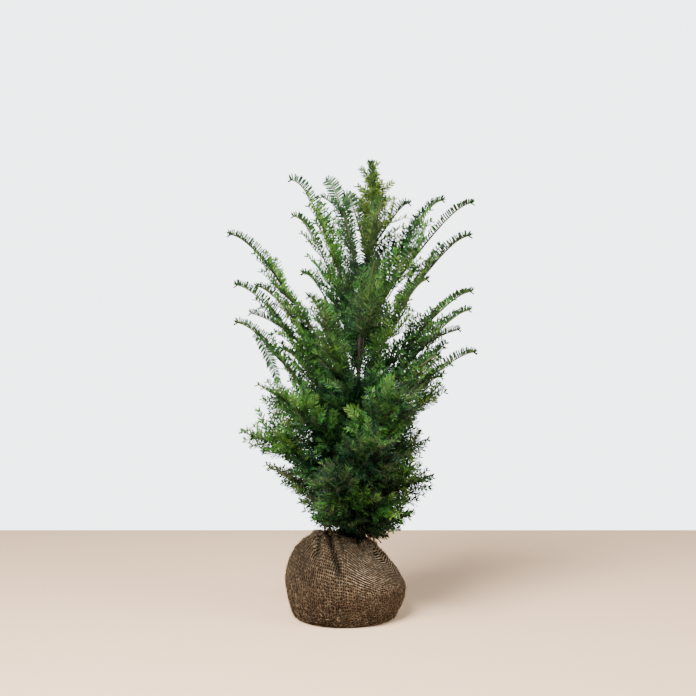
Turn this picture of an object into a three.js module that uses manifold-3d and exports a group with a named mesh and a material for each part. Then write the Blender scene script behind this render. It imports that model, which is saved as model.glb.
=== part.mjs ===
// A balled and wrapped yew sapling: one upright trunk in a jute-wrapped root ball, long boughs that
// rise at a slant and nod over at the tip, and masses of flat needle sprays that keep to their own space.
// Millimetres, +Z up, +X to the right, -Y to the front. The origin is the middle of the flat underside.
import * as THREE from "three";
import { mergeVertices } from "three/addons/utils/BufferGeometryUtils.js";
import Module from "manifold-3d";

const wasm = await Module();
wasm.setup();

// Driving dimensions
const BALL_FOOT_RADIUS = 112; // flat underside
const BALL_RADIUS = 146; // at its widest
const BALL_WIDEST = 84; // height of the widest ring
const BALL_TOP = 200; // height of the gathered rim
const RIM_RADIUS = 60;
const RIM_X = 5; // the gathered rim sits right of the middle
const SEAT_RADIUS = 21; // flat soil surface round the trunk
const SEAT_HEIGHT = 189;
const SHOULDER_LIFT = 26; // how much higher the left shoulder stands than the mean
const SHOULDER_SPAN = 215; // height at which both shoulders would be level again
const FOLD_DEPTH = 8; // pleats of the gathered jute
const FOLDS = 7;

const TRUNK_X = 41; // where the trunk stands on the seat
const TRUNK_LEAN = 26; // sideways travel of the trunk from foot to top
const TRUNK_BOW = 21;
const TRUNK_SWAY = 5;
const TRUNK_TOP = 985; // height at which this year's leader begins
const TRUNK_FOOT_RADIUS = 9.5;
const TRUNK_TOP_RADIUS = 3;
const ROOT_FLARE = 5.5; // extra radius at the cut foot
const FLARE_HEIGHT = 28;
const LEADER_RISE = 130;

const BOUGH_RADIUS = 3.6; // at the trunk
const BOUGH_END_RADIUS = 2.6; // where its foliage begins
const GAP = 0.3; // clear distance between separate pieces
const NEEDLE = 29; // longest tooth of a spray
const STEP = 21.5; // from tooth to tooth along a twig
const CORE_RADIUS = 66; // the most that the tufts of a close mass's core may reach from its stem
const TUFT_FOOT = 0.4; // the core between its tufts, as a share of their reach
const NEEDLE_RAISE = THREE.MathUtils.degToRad(38); // how far both ranks of needles rise above the twig
const SPACE_MARGIN = 1.2; // how far a mass stays inside its own space
const LIMB_CLEARANCE = 3.5;
const SKIRT_FOOT = 190; // the crown's lower edge rises from here outwards
const SKIRT_SLOPE = 0.62;
const SEED = 20417;

// Long boughs: name, height of the fork on the trunk, bearing in degrees (0 right, 90 back, 180 left, 270 front),
// horizontal reach of the tip, rise of the tip, share of the bough that is bare
const LONG_BOUGHS = [
  ["left_long", 553, 175, 318, 389, 0.26],
  ["left_upper", 718, 192, 173, 350, 0.24],
  ["left_back_upper", 800, 130, 145, 286, 0.22],
  ["left_wide", 500, 186, 296, 314, 0.19],
  ["left_wide_back", 528, 160, 272, 288, 0.2],
  ["left_outer", 398, 180, 298, 325, 0.22],
  ["right_upper", 725, 352, 268, 287, 0.25],
  ["right_upper_back", 765, 20, 214, 266, 0.24],
  ["right_mid", 640, 8, 276, 299, 0.22],
  ["right_wide", 545, 346, 278, 252, 0.19],
  ["right_wide_back", 490, 14, 290, 265, 0.2],
  ["right_low", 455, 358, 285, 196, 0.2],
];

// Short limbs that carry foliage from the trunk out: name, height of the fork, bearing, reach, rise
const SHORT_LIMBS = [
  ["front_left", 500, 234, 196, 282],
  ["front_mid", 590, 282, 186, 276],
  ["front_right", 560, 318, 214, 262],
  ["front_upper", 735, 248, 128, 250],
  ["back_left", 470, 135, 236, 250],
  ["back_mid", 590, 98, 214, 262],
  ["back_upper", 740, 78, 140, 240],
  ["right_inner", 668, 330, 152, 226],
  ["left_inner", 640, 158, 150, 208],
  ["left_mid", 690, 166, 171, 298],
  ["left_low", 425, 196, 190, 232],
  ["right_low_front", 440, 336, 208, 204],
  ["leader_right", 897, 8, 100, 120],
  ["leader_front", 850, 300, 84, 168],
  ["leader_left", 890, 196, 58, 142],
  ["leader_back", 862, 80, 80, 160],
];

// The close lower crown, tier by tier: height of the fork, number of limbs, first bearing, reach of the tip,
// how much further it reaches to the left, rise
const LOWER_TIERS = [
  { height: 226, limbs: 3, bearing: 214, reach: 120, leftward: 0, rise: 26 },
  { height: 262, limbs: 4, bearing: 158, reach: 180, leftward: 26, rise: 84 },
  { height: 322, limbs: 4, bearing: 186, reach: 208, leftward: 46, rise: 116 },
  { height: 376, limbs: 4, bearing: 205, reach: 214, leftward: 12, rise: 166 },
];

const up = new THREE.Vector3(0, 0, 1);
const { degToRad, lerp, clamp } = THREE.MathUtils;

// A stream of numbers from 0 to 1 that is the same on every run
function seeded(seed) {
  let state = seed >>> 0;
  return () => {
    state = (Math.imul(state, 1664525) + 1013904223) >>> 0;
    return state / 4294967296;
  };
}

const pointAlong = (origin, direction, distance) => origin.clone().addScaledVector(direction, distance);

function solidOf(geometry) {
  geometry.deleteAttribute("normal");
  geometry.deleteAttribute("uv");
  const merged = mergeVertices(geometry, 1e-4);
  return new wasm.Manifold(
    new wasm.Mesh({
      numProp: 3,
      vertProperties: merged.attributes.position.array,
      triVerts: new Uint32Array(merged.index.array),
    }),
  );
}

function geometryOf(solid) {
  const mesh = solid.getMesh();
  return new THREE.BufferGeometry()
    .setAttribute("position", new THREE.BufferAttribute(mesh.vertProperties, 3))
    .setIndex(new THREE.BufferAttribute(mesh.triVerts, 1));
}

// Trunk
function trunkAxis(height) {
  const t = (height - SEAT_HEIGHT) / (TRUNK_TOP - SEAT_HEIGHT);
  const x = TRUNK_X + TRUNK_LEAN * t - TRUNK_BOW * Math.sin(Math.PI * t);
  return new THREE.Vector3(x, TRUNK_SWAY * Math.sin(2 * Math.PI * t), height);
}

function trunkRadius(height) {
  const t = (height - SEAT_HEIGHT) / (TRUNK_TOP - SEAT_HEIGHT);
  const flare = ROOT_FLARE * Math.exp(-3 * ((height - SEAT_HEIGHT) / FLARE_HEIGHT));
  return lerp(TRUNK_FOOT_RADIUS, TRUNK_TOP_RADIUS, Math.pow(clamp(t, 0, 1), 0.85)) + flare;
}

// A cylinder bent so that its rings follow centreAt(t) with radius radiusAt(t), for t from 0 to 1
function bentCylinder(centreAt, radiusAt, sides, rings, sideways) {
  const cylinder = new THREE.CylinderGeometry(1, 1, 1, sides, rings);
  const position = cylinder.attributes.position;
  const step = 1e-3;
  for (let i = 0; i < position.count; i++) {
    const t = position.getY(i) + 0.5;
    const along = centreAt(Math.min(1, t + step)).sub(centreAt(Math.max(0, t - step))).normalize();
    const across = sideways.clone().addScaledVector(along, -sideways.dot(along)).normalize();
    const third = new THREE.Vector3().crossVectors(across, along);
    const place = centreAt(t)
      .addScaledVector(across, position.getX(i) * radiusAt(t))
      .addScaledVector(third, position.getZ(i) * radiusAt(t));
    position.setXYZ(i, place.x, place.y, place.z);
  }
  return solidOf(cylinder);
}

// The trunk thins evenly, so its rings are set closer in the flare at its foot
function trunkSolid(extra) {
  const heightAt = (t) => lerp(SEAT_HEIGHT + GAP, TRUNK_TOP, Math.pow(t, 1.6));
  const radiusAt = (t) => trunkRadius(heightAt(t)) + extra;
  const level = (t) => trunkAxis(heightAt(t));
  const rings = 13;
  const cylinder = new THREE.CylinderGeometry(1, 1, 1, 8, rings);
  const position = cylinder.attributes.position;
  for (let i = 0; i < position.count; i++) {
    const t = position.getY(i) + 0.5;
    const centre = level(t);
    position.setXYZ(
      i,
      centre.x + position.getX(i) * radiusAt(t),
      centre.y - position.getZ(i) * radiusAt(t),
      centre.z,
    );
  }
  return solidOf(cylinder);
}

// Limb curves
// A limb rises at the slope of its chord and nods over in its last stretch.
function limbCurve(foot, bearing, reach, rise, sideSway) {
  const out = new THREE.Vector3(Math.cos(degToRad(bearing)), Math.sin(degToRad(bearing)), 0);
  const side = new THREE.Vector3(-out.y, out.x, 0);
  const tip = pointAlong(pointAlong(foot, out, reach), up, rise);
  const chord = Math.hypot(reach, rise);
  const slope = Math.atan2(rise, reach);
  const tipSlope = slope * 0.12;
  const first = foot
    .clone()
    .addScaledVector(out, 0.42 * chord * Math.cos(slope))
    .addScaledVector(up, 0.42 * chord * Math.sin(slope))
    .addScaledVector(side, sideSway * chord);
  const second = tip
    .clone()
    .addScaledVector(out, -0.15 * chord * Math.cos(tipSlope))
    .addScaledVector(up, -0.15 * chord * Math.sin(tipSlope))
    .addScaledVector(side, -0.5 * sideSway * chord);
  return { curve: new THREE.CubicBezierCurve3(foot, first, second, tip), out, side, chord };
}

// The direction that is upward for a twig running along `along`, square to it
function upright(reference, along) {
  return reference.clone().addScaledVector(along, -reference.dot(along)).normalize();
}

const curvePoint = (curve, t) => curve.getPoint(clamp(t, 0, 1));
const curveDirection = (curve, t) => curve.getTangent(clamp(t, 0, 1));

// Every limb, with the stretch of it that carries foliage
const limbs = [];
function addLimb(name, height, bearing, reach, rise, bare, index, dense) {
  const random = seeded(SEED + 97 * index);
  const sway = (random() - 0.5) * 0.08;
  const foot = trunkAxis(height);
  limbs.push({ name, foot, bare, dense, random, ...limbCurve(foot, bearing, reach, rise, sway) });
}
LONG_BOUGHS.forEach(([name, height, bearing, reach, rise, bare], i) =>
  addLimb(name, height, bearing, reach, rise, bare, i, false),
);
SHORT_LIMBS.forEach(([name, height, bearing, reach, rise], i) =>
  addLimb(name, height, bearing, reach, rise, 0, 40 + i, false),
);
LOWER_TIERS.forEach((tier, k) => {
  for (let i = 0; i < tier.limbs; i++) {
    const random = seeded(SEED + 1000 + 10 * k + i);
    const bearing = tier.bearing + (360 / tier.limbs) * i + (random() - 0.5) * 20;
    const reach = (tier.reach - tier.leftward * Math.cos(degToRad(bearing))) * (0.94 + 0.12 * random());
    const height = tier.height + (random() - 0.5) * 16;
    addLimb(`lower_${k + 1}_${i + 1}`, height, bearing, reach, tier.rise, 0, 60 + 10 * k + i, true);
  }
});
// This year's leader goes on from the top of the trunk.
const leaderFoot = trunkAxis(TRUNK_TOP);
limbs.push({
  name: "leader",
  bare: 0,
  dense: false,
  leader: true,
  random: seeded(SEED + 7),
  curve: new THREE.CubicBezierCurve3(
    pointAlong(leaderFoot, up, GAP),
    pointAlong(leaderFoot, up, 0.4 * LEADER_RISE).add(new THREE.Vector3(4, 0, 0)),
    pointAlong(leaderFoot, up, 0.7 * LEADER_RISE).add(new THREE.Vector3(3, 0, 0)),
    pointAlong(leaderFoot, up, LEADER_RISE).add(new THREE.Vector3(-3, 2, 0)),
  ),
  out: new THREE.Vector3(1, 0, 0),
  side: new THREE.Vector3(0, 1, 0),
  chord: LEADER_RISE,
});

// Space. Each mass keeps to the points that are nearer to its own stem than to any other mass's.
const STEM_SAMPLES = 16;
const sampleStretch = (limb, from, to, count) =>
  Array.from({ length: count + 1 }, (_, i) => curvePoint(limb.curve, lerp(from, to, i / count)));
limbs.forEach((limb) => {
  limb.stem = sampleStretch(limb, Math.max(limb.bare, 0.04), 1, STEM_SAMPLES);
  limb.wood = limb.bare > 0 ? sampleStretch(limb, 0, limb.bare, 4) : [];
});

const segment = new THREE.Line3();
const nearest = new THREE.Vector3();
function distanceTo(point, line) {
  let least = Infinity;
  for (let i = 0; i + 1 < line.length; i++) {
    segment.set(line[i], line[i + 1]).closestPointToPoint(point, true, nearest);
    least = Math.min(least, nearest.distanceTo(point));
  }
  return least;
}

function inOwnSpace(point, own) {
  const floor = BALL_TOP + clamp(26 - 0.45 * (point.x + 10), -10, 24);
  if (point.z < floor && Math.hypot(point.x, point.y) < BALL_RADIUS) return false;
  if (point.z < SKIRT_FOOT + SKIRT_SLOPE * Math.max(0, Math.hypot(point.x - TRUNK_X, point.y) - 60)) return false;
  const fromTrunk = Math.hypot(point.x - trunkAxis(point.z).x, point.y - trunkAxis(point.z).y);
  if (point.z < TRUNK_TOP + 2 && fromTrunk < trunkRadius(point.z) + LIMB_CLEARANCE) return false;
  const ownDistance = distanceTo(point, own.stem);
  return limbs.every((other) => {
    if (other.wood.length && distanceTo(point, other.wood) < BOUGH_RADIUS + LIMB_CLEARANCE) return false;
    return other === own || distanceTo(point, other.stem) > ownDistance + SPACE_MARGIN;
  });
}

// Sprays
// A spray is a toothed blade on a three-sided twig: each tooth stands for a few needles of one rank. Both ranks
// rise from the twig in a shallow V. `centres` are the points along the twig, and teeth[i] is the length of the
// two teeth between points i and i + 1, where 0 leaves a plain stretch of twig.
function spraySolid(centres, reference, ribAt, teeth) {
  const vertices = [];
  const triangles = [];
  const last = centres.length - 1;
  const add = (point) => vertices.push(point.x, point.y, point.z) / 3 - 1; // the number of the new vertex
  const stations = centres.map((centre, i) => {
    const along = centres[Math.min(last, i + 1)].clone().sub(centres[Math.max(0, i - 1)]).normalize();
    const above = upright(reference, along);
    const across = new THREE.Vector3().crossVectors(along, above);
    return { centre, along, above, across, rib: ribAt(i / last) };
  });
  const rings = stations.slice(0, last).map(({ centre, above, across, rib }) => {
    const below = pointAlong(centre, above, -0.5 * rib);
    return {
      top: add(pointAlong(centre, above, rib)),
      right: add(pointAlong(below, across, rib)),
      left: add(pointAlong(below, across, -rib)),
    };
  });
  const tip = add(pointAlong(centres[last], stations[last].along, 4));
  rings.push({ top: tip, right: tip, left: tip });
  const face = (p, q, r) => {
    if (p !== q && q !== r && p !== r) triangles.push(p, q, r);
  };
  for (let i = 0; i < last; i++) {
    const a = rings[i];
    const b = rings[i + 1];
    face(a.left, b.left, a.right);
    face(b.left, b.right, a.right);
    for (const [edge, sign] of [
      ["right", 1],
      ["left", -1],
    ]) {
      const wing = sign > 0 ? face : (p, q, r) => face(p, r, q);
      if (teeth[i][edge] > 0) {
        const tooth = add(toothPoint(centres, reference, i, sign, teeth[i][edge]));
        wing(a.top, a[edge], tooth);
        wing(a.top, tooth, b.top);
        wing(b.top, tooth, b[edge]);
        wing(a[edge], b[edge], tooth);
      } else {
        wing(a.top, a[edge], b.top);
        wing(b.top, a[edge], b[edge]);
      }
    }
  }
  face(rings[0].top, rings[0].left, rings[0].right);
  return new wasm.Manifold(
    new wasm.Mesh({
      numProp: 3,
      vertProperties: new Float32Array(vertices),
      triVerts: new Uint32Array(triangles),
    }),
  );
}

// Where the tooth on one side of segment i ends
function toothPoint(centres, reference, i, sign, length) {
  const along = centres[i + 1].clone().sub(centres[Math.max(0, i - 1)]).normalize();
  const above = upright(reference, along);
  const across = new THREE.Vector3().crossVectors(along, above);
  return centres[i]
    .clone()
    .lerp(centres[i + 1], 0.85)
    .addScaledVector(across, sign * length * Math.cos(NEEDLE_RAISE))
    .addScaledVector(above, length * Math.sin(NEEDLE_RAISE));
}

// The longest tooth that stays in the mass's own space, or 0
function fittingTooth(limb, centres, reference, i, sign, wanted) {
  for (const share of [1, 0.7, 0.45]) {
    const length = wanted * share;
    const points = [0.5, 0.8, 1].map((part) => toothPoint(centres, reference, i, sign, length * part));
    if (points.every((point) => inOwnSpace(point, limb))) return length;
  }
  return 0;
}

function teethFor(limb, centres, reference, lengthAt) {
  return Array.from({ length: centres.length - 1 }, (_, i) => {
    const wanted = lengthAt((i + 0.5) / (centres.length - 1));
    if (wanted <= 0) return { right: 0, left: 0 };
    return {
      right: fittingTooth(limb, centres, reference, i, 1, wanted),
      left: fittingTooth(limb, centres, reference, i, -1, wanted),
    };
  });
}

// Side shoots leave the stem by turns left and right, slant forwards and bend a little upwards.
function sideShoots(limb) {
  const { curve, chord, random, leader, dense } = limb;
  const from = leader ? 0.1 : Math.max(limb.bare + 0.04, dense ? 0.34 : 0.2);
  const to = dense ? 0.82 : 0.72;
  const spacing = leader ? 25 : dense ? 34 : 46;
  const count = Math.max(2, Math.round(((to - from) * chord) / spacing));
  return Array.from({ length: count }, (_, k) => {
    const t = lerp(from, to, (k + 0.25 + 0.5 * random()) / count);
    const turn = k % 2 ? 1 : -1;
    const lift = degToRad(leader || dense ? 137.5 * k : lerp(lerp(-60, -15, t), lerp(50, 30, t), random()));
    const open = degToRad((dense ? 44 : 34) + 14 * random());
    const most = leader ? 70 : dense ? 128 : 122;
    const length = most * (1 - 0.6 * t) * (0.8 + 0.4 * random());
    const root = curvePoint(curve, t);
    const along = curveDirection(curve, t);
    const above = limbUp(limb, t);
    const across = new THREE.Vector3().crossVectors(along, above);
    const sideways = across.multiplyScalar((leader || dense ? 1 : turn) * Math.cos(lift));
    sideways.addScaledVector(above, Math.sin(lift));
    const start = along.clone().multiplyScalar(Math.cos(open)).addScaledVector(sideways, Math.sin(open));
    return { t, root, start, bend: along.clone().addScaledVector(up, 0.25), length, above };
  });
}

// Upward and inward across a limb, square to its own upright plane
function limbUp(limb, t) {
  const along = curveDirection(limb.curve, t);
  return new THREE.Vector3().crossVectors(along, limb.side).normalize();
}

const shootPoint = ({ root, start, bend, length }, u) =>
  root.clone().addScaledVector(start, length * u).addScaledVector(bend, 0.16 * length * u * u);

// How long the needles are along a twig: shorter where it begins and at its tip
const needleAt = (u) => NEEDLE * (0.45 + 0.55 * Math.sin(Math.PI * Math.pow(u, 0.75)));

// A twig's root is plain: up to `plain` along it there are no needles.
function shootSolid(limb, shoot, plain) {
  const segments = Math.max(2, Math.round(shoot.length / STEP));
  const centres = [];
  for (let i = 0; i <= segments; i++) {
    const point = shootPoint(shoot, i / segments);
    if (i > 0 && !inOwnSpace(point, limb)) break;
    centres.push(point);
  }
  if (centres.length < 3 || shoot.length * (centres.length - 1) < segments * (plain + STEP)) return null;
  const teeth = teethFor(limb, centres, shoot.above, (u) =>
    u * shoot.length < Math.max(plain, 0.6 * STEP) ? 0 : needleAt(u),
  );
  return spraySolid(centres, shoot.above, (u) => lerp(1.7, 1, u), teeth);
}

// The core of a close mass is a faceted lump round its stem with blunt tufts that point outwards and forwards.
// It stays inside the mass's own space on every side.
const CORE_FROM = 0.14;
const CORE_TO = 0.8;
function coreReach(limb, t, angle, most) {
  const centre = curvePoint(limb.curve, t);
  const sideways = pointAlong(limb.side.clone().multiplyScalar(Math.cos(angle)), limbUp(limb, t), -Math.sin(angle));
  let reach = 4;
  while (reach < most && inOwnSpace(pointAlong(centre, sideways, reach + 6), limb)) reach += 3;
  return reach;
}

function coreSolid(limb) {
  const sides = 8;
  const rings = 6;
  const cylinder = new THREE.CylinderGeometry(1, 1, 1, sides, rings);
  const position = cylinder.attributes.position;
  for (let i = 0; i < position.count; i++) {
    const share = position.getY(i) + 0.5;
    const angle = Math.atan2(position.getZ(i), position.getX(i));
    const onSide = Math.hypot(position.getX(i), position.getZ(i)) > 0.5;
    const tuft = (Math.round((angle / (2 * Math.PI)) * sides) + Math.round(share * rings)) % 2 !== 0;
    const forward = tuft && share > 0 && share < 1 ? 0.07 : 0;
    const t = lerp(CORE_FROM, CORE_TO, share) + forward;
    const most = CORE_RADIUS * Math.sin(Math.PI * lerp(0.07, 0.92, Math.pow(share, 0.8)));
    const reach = onSide ? (tuft ? 0.96 : TUFT_FOOT) * coreReach(limb, t, angle, most) : 0;
    const place = pointAlong(curvePoint(limb.curve, t), limb.side, reach * Math.cos(angle));
    place.addScaledVector(limbUp(limb, t), -reach * Math.sin(angle));
    position.setXYZ(i, place.x, place.y, place.z);
  }
  return solidOf(cylinder);
}

// How far from the stem a close mass's core reaches at t
function coreDepth(limb, t) {
  const share = clamp((t - CORE_FROM) / (CORE_TO - CORE_FROM), 0, 1);
  return 0.55 * CORE_RADIUS * Math.sin(Math.PI * share);
}

function massSolid(limb, trunkAndGap) {
  const { curve, bare, chord, leader, dense } = limb;
  const segments = Math.round((chord * (1 - bare)) / STEP);
  const centres = Array.from({ length: segments + 1 }, (_, i) => curvePoint(curve, lerp(bare, 1, i / segments)));
  const reference = limbUp(limb, 0.6);
  const firstTooth = leader ? 0.06 : bare > 0 ? 0.1 : dense ? CORE_TO - 0.08 : 0.14;
  const teeth = teethFor(limb, centres, reference, (u) => (u < firstTooth ? 0 : needleAt(u)));
  const parts = [spraySolid(centres, reference, (u) => lerp(BOUGH_END_RADIUS, 1.2, u), teeth)];
  sideShoots(limb).forEach((shoot) => {
    const twig = shootSolid(limb, shoot, dense ? coreDepth(limb, shoot.t) : 0);
    if (twig) parts.push(twig);
  });
  if (dense) parts.push(coreSolid(limb));
  const joined = wasm.Manifold.union(parts);
  const solid = bare > 0 || leader ? joined : joined.subtract(trunkAndGap);
  return solid.decompose().sort((a, b) => b.volume() - a.volume())[0];
}

function boughSolid(limb, trunkAndGap) {
  const end = curveDirection(limb.curve, limb.bare);
  const centreAt = (s) => pointAlong(curvePoint(limb.curve, limb.bare * s), end, -GAP);
  const radiusAt = (s) => lerp(BOUGH_RADIUS, BOUGH_END_RADIUS, s);
  return bentCylinder(centreAt, radiusAt, 5, 2, limb.side).subtract(trunkAndGap);
}

// Root ball: soil in a jute wrap, gathered over the top round the trunk
function ballSolid(lift) {
  const outline = new THREE.SplineCurve([
    new THREE.Vector2(BALL_FOOT_RADIUS + 10, 4),
    new THREE.Vector2(0.92 * BALL_RADIUS, 0.3 * BALL_WIDEST),
    new THREE.Vector2(BALL_RADIUS, BALL_WIDEST),
    new THREE.Vector2(0.93 * BALL_RADIUS, 0.62 * BALL_TOP),
    new THREE.Vector2(0.8 * BALL_RADIUS, 0.77 * BALL_TOP),
    new THREE.Vector2(0.59 * BALL_RADIUS, 0.92 * BALL_TOP),
    new THREE.Vector2(RIM_RADIUS, BALL_TOP),
  ]).getPoints(8);
  const profile = [
    new THREE.Vector2(0, 0),
    new THREE.Vector2(BALL_FOOT_RADIUS, 0),
    ...outline,
    new THREE.Vector2(0.7 * RIM_RADIUS, BALL_TOP - 2),
    new THREE.Vector2(SEAT_RADIUS, SEAT_HEIGHT),
    new THREE.Vector2(0, SEAT_HEIGHT),
  ];
  const ball = new THREE.LatheGeometry(profile, 28);
  ball.rotateX(Math.PI / 2);
  const position = ball.attributes.position;
  for (let i = 0; i < position.count; i++) {
    const radius = Math.hypot(position.getX(i), position.getY(i));
    const angle = Math.atan2(position.getY(i), position.getX(i));
    const height = position.getZ(i);
    const onSkin = height > 0 && radius > SEAT_RADIUS + 1 ? 1 : 0;
    const shoulder = clamp((height - BALL_WIDEST) / (BALL_TOP - BALL_WIDEST), 0, 1);
    const gather = shoulder * shoulder * (3 - 2 * shoulder);
    const inside = clamp((RIM_RADIUS - radius) / (RIM_RADIUS - SEAT_RADIUS), 0, 1);
    const fold = FOLD_DEPTH * gather * (1 - inside) * Math.cos(FOLDS * angle + 0.8 * Math.sin(2 * angle));
    const lump = (3 * Math.cos(2 * angle + 0.6) + 2.5 * Math.cos(3 * angle - 1.1)) * (1 - gather);
    const newRadius = radius + onSkin * (fold + lump + lift);
    const tilt = SHOULDER_LIFT * Math.sin(Math.PI * Math.pow(height / SHOULDER_SPAN, 2)) * Math.cos(angle);
    const shift = radius > RIM_RADIUS ? RIM_X * gather : lerp(RIM_X, TRUNK_X, inside);
    position.setXYZ(
      i,
      (height > 0 ? shift : 0) + newRadius * Math.cos(angle),
      newRadius * Math.sin(angle),
      height - onSkin * tilt * (1 - inside) + lift,
    );
  }
  return solidOf(ball);
}

// The two corners of the wrap are tied in knots on opposite sides of the rim.
function knotSolid(from, to, width, ball) {
  const middle = from.clone().lerp(to, 0.5).add(new THREE.Vector3(0, 0, 5));
  const curve = new THREE.QuadraticBezierCurve3(from, middle, to);
  const swell = (t) => width * (0.62 + 0.55 * Math.sin(Math.PI * Math.pow(t, 0.7)) - 0.18 * t);
  return bentCylinder((t) => curve.getPoint(t), swell, 8, 6, new THREE.Vector3(0, 1, 0)).subtract(ball);
}

// Materials
const bark = new THREE.MeshStandardMaterial({ color: 0x4a3527, roughness: 0.95, metalness: 0 });
const jute = new THREE.MeshStandardMaterial({ color: 0x8a6f4e, roughness: 1, metalness: 0 });
const needles = new THREE.MeshStandardMaterial({ color: 0x2e4a22, roughness: 0.6, metalness: 0 });

function named(name, solid, material) {
  const mesh = new THREE.Mesh(geometryOf(solid), material);
  mesh.name = name;
  return mesh;
}

const sapling = new THREE.Group();
const trunkAndGap = trunkSolid(GAP);
const ballAndGap = ballSolid(GAP + 0.2);
sapling.add(named("root_ball", ballSolid(0), jute));
sapling.add(
  named(
    "wrap_knot_left",
    knotSolid(new THREE.Vector3(-20, -22, 202), new THREE.Vector3(-60, -30, 214), 18, ballAndGap),
    jute,
  ),
);
sapling.add(
  named(
    "wrap_knot_right",
    knotSolid(new THREE.Vector3(58, -24, 196), new THREE.Vector3(86, -32, 190), 12, ballAndGap),
    jute,
  ),
);
sapling.add(named("trunk", trunkSolid(0), bark));
limbs.forEach((limb) => {
  if (limb.bare > 0) sapling.add(named(`bough_${limb.name}`, boughSolid(limb, trunkAndGap), bark));
  sapling.add(named(`foliage_${limb.name}`, massSolid(limb, trunkAndGap), needles));
});

export default sapling;
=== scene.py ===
import math

import bpy
import numpy as np
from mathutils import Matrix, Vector, noise


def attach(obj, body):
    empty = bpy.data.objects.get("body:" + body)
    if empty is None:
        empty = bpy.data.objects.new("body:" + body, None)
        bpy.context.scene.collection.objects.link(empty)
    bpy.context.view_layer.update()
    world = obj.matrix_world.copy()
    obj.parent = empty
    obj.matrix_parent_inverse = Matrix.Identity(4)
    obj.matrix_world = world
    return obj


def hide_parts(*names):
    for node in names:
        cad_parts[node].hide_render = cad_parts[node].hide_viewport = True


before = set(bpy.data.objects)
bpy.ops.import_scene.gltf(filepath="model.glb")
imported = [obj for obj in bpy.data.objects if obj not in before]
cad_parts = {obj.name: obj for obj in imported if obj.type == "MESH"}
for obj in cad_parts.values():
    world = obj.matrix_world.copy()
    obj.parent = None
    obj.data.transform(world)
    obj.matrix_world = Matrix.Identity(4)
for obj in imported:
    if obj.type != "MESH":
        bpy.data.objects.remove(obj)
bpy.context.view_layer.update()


# The jute wrap. One square of coarse open-weave jute holds the ball of moist loam: it lies flat under the
# ball, is pulled up over the shoulders and gathered round the trunk, where its corners are tied in two knots.
# The left shoulder stands higher than the right one, and pleats run down from both knots.
FOOT_RADIUS = 0.112
UNDERSIDE = 0.0005
BALL_MIDDLE = 0.09
THREAD_PITCH = 0.0062
WEFT_PITCH = 0.0073
THREADS_ROUND = 142
# the middles of both knots, with the count, phase, depth and span of the pleats that run away from them
KNOT_PLEATS = [
    (Vector((-0.044, -0.030, 0.212)), 6, 0.4, 0.0062, 0.085),
    (Vector((0.070, -0.030, 0.197)), 7, 1.9, 0.0056, 0.075),
]
# radius and height of each ring from the floor up to the gathered rim, then in and down to the trunk
BALL_RINGS = [
    (0.122, 0.004),
    (0.1285, 0.014),
    (0.133, 0.027),
    (0.139, 0.045),
    (0.1435, 0.063),
    (0.1455, 0.082),
    (0.1445, 0.100),
    (0.139, 0.119),
    (0.129, 0.137),
    (0.115, 0.154),
    (0.100, 0.169),
    (0.085, 0.182),
    (0.072, 0.192),
    (0.060, 0.199),
    (0.048, 0.201),
    (0.036, 0.197),
    (0.026, 0.190),
]
# the height of the cloth, evenly gathered, where the gathering starts and where it is complete
GATHER_START, GATHER_END = 0.084, 0.2
# creases that the pull of the knots leaves in front: across at the top and foot, height of the foot, width,
# depth
FRONT_CREASES = [
    (-0.034, -0.003, 0.105, 0.0062, 0.0130),
    (-0.060, -0.071, 0.148, 0.0050, 0.0095),
    (0.074, 0.092, 0.142, 0.0080, 0.0095),
    (0.030, 0.050, 0.158, 0.0060, 0.0050),
    (-0.010, 0.002, 0.165, 0.0045, 0.0050),
]


def clear_selection():
    bpy.ops.object.select_all(action="DESELECT")
    bpy.context.view_layer.objects.active = None


def rename(piece, name):
    piece.name = name
    piece.data.name = name
    return piece


clear_selection()
foot_place = (0, 0, UNDERSIDE)
bpy.ops.mesh.primitive_circle_add(vertices=72, radius=FOOT_RADIUS, fill_type="NGON", location=foot_place)
wrap = rename(bpy.context.active_object, "jute_wrap")
bpy.ops.object.mode_set(mode="EDIT")
bpy.ops.mesh.select_all(action="SELECT")
bpy.ops.mesh.flip_normals()
bpy.ops.mesh.select_mode(type="EDGE")
ring_radius, ring_height = FOOT_RADIUS, UNDERSIDE
for radius, height in BALL_RINGS:
    bpy.ops.mesh.extrude_edges_move(TRANSFORM_OT_translate={"value": (0, 0, height - ring_height)})
    widening = radius / ring_radius
    bpy.ops.transform.resize(value=(widening, widening, 1), center_override=(0, 0, height))
    ring_radius, ring_height = radius, height
bpy.ops.mesh.fill()
bpy.ops.object.mode_set(mode="OBJECT")
subdivision = wrap.modifiers.new("finer cloth", "SUBSURF")
subdivision.levels = subdivision.render_levels = 2
bpy.ops.object.modifier_apply(modifier=subdivision.name)


def smooth_step(low, high, value):
    share = min(1.0, max(0.0, (value - low) / (high - low)))
    return share * share * (3 - 2 * share)


def outward_from(point):
    """The direction square to the ball's own round shape at a point on it."""
    return Vector((point.x, point.y, 1.1 * (point.z - BALL_MIDDLE))).normalized()


def pleats(point, knot, count, phase, depth, span):
    """How far the cloth stands out in the pleats that run away from a knot."""
    outward = (knot - Vector((0, 0, BALL_MIDDLE))).normalized()
    first = outward.cross(Vector((0, 0, 1))).normalized()
    second = outward.cross(first)
    away = point - knot
    turn = math.atan2(away.dot(second), away.dot(first))
    distance = away.length
    wander = 0.5 * noise.noise(point * 22)
    ridge = math.cos(count * (turn + wander) + phase) + 0.45 * math.cos((2 * count + 1) * turn + 2.1 * phase)
    return depth * ridge * smooth_step(0.004, 0.03, distance) * math.exp(-((distance / span) ** 2))


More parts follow.
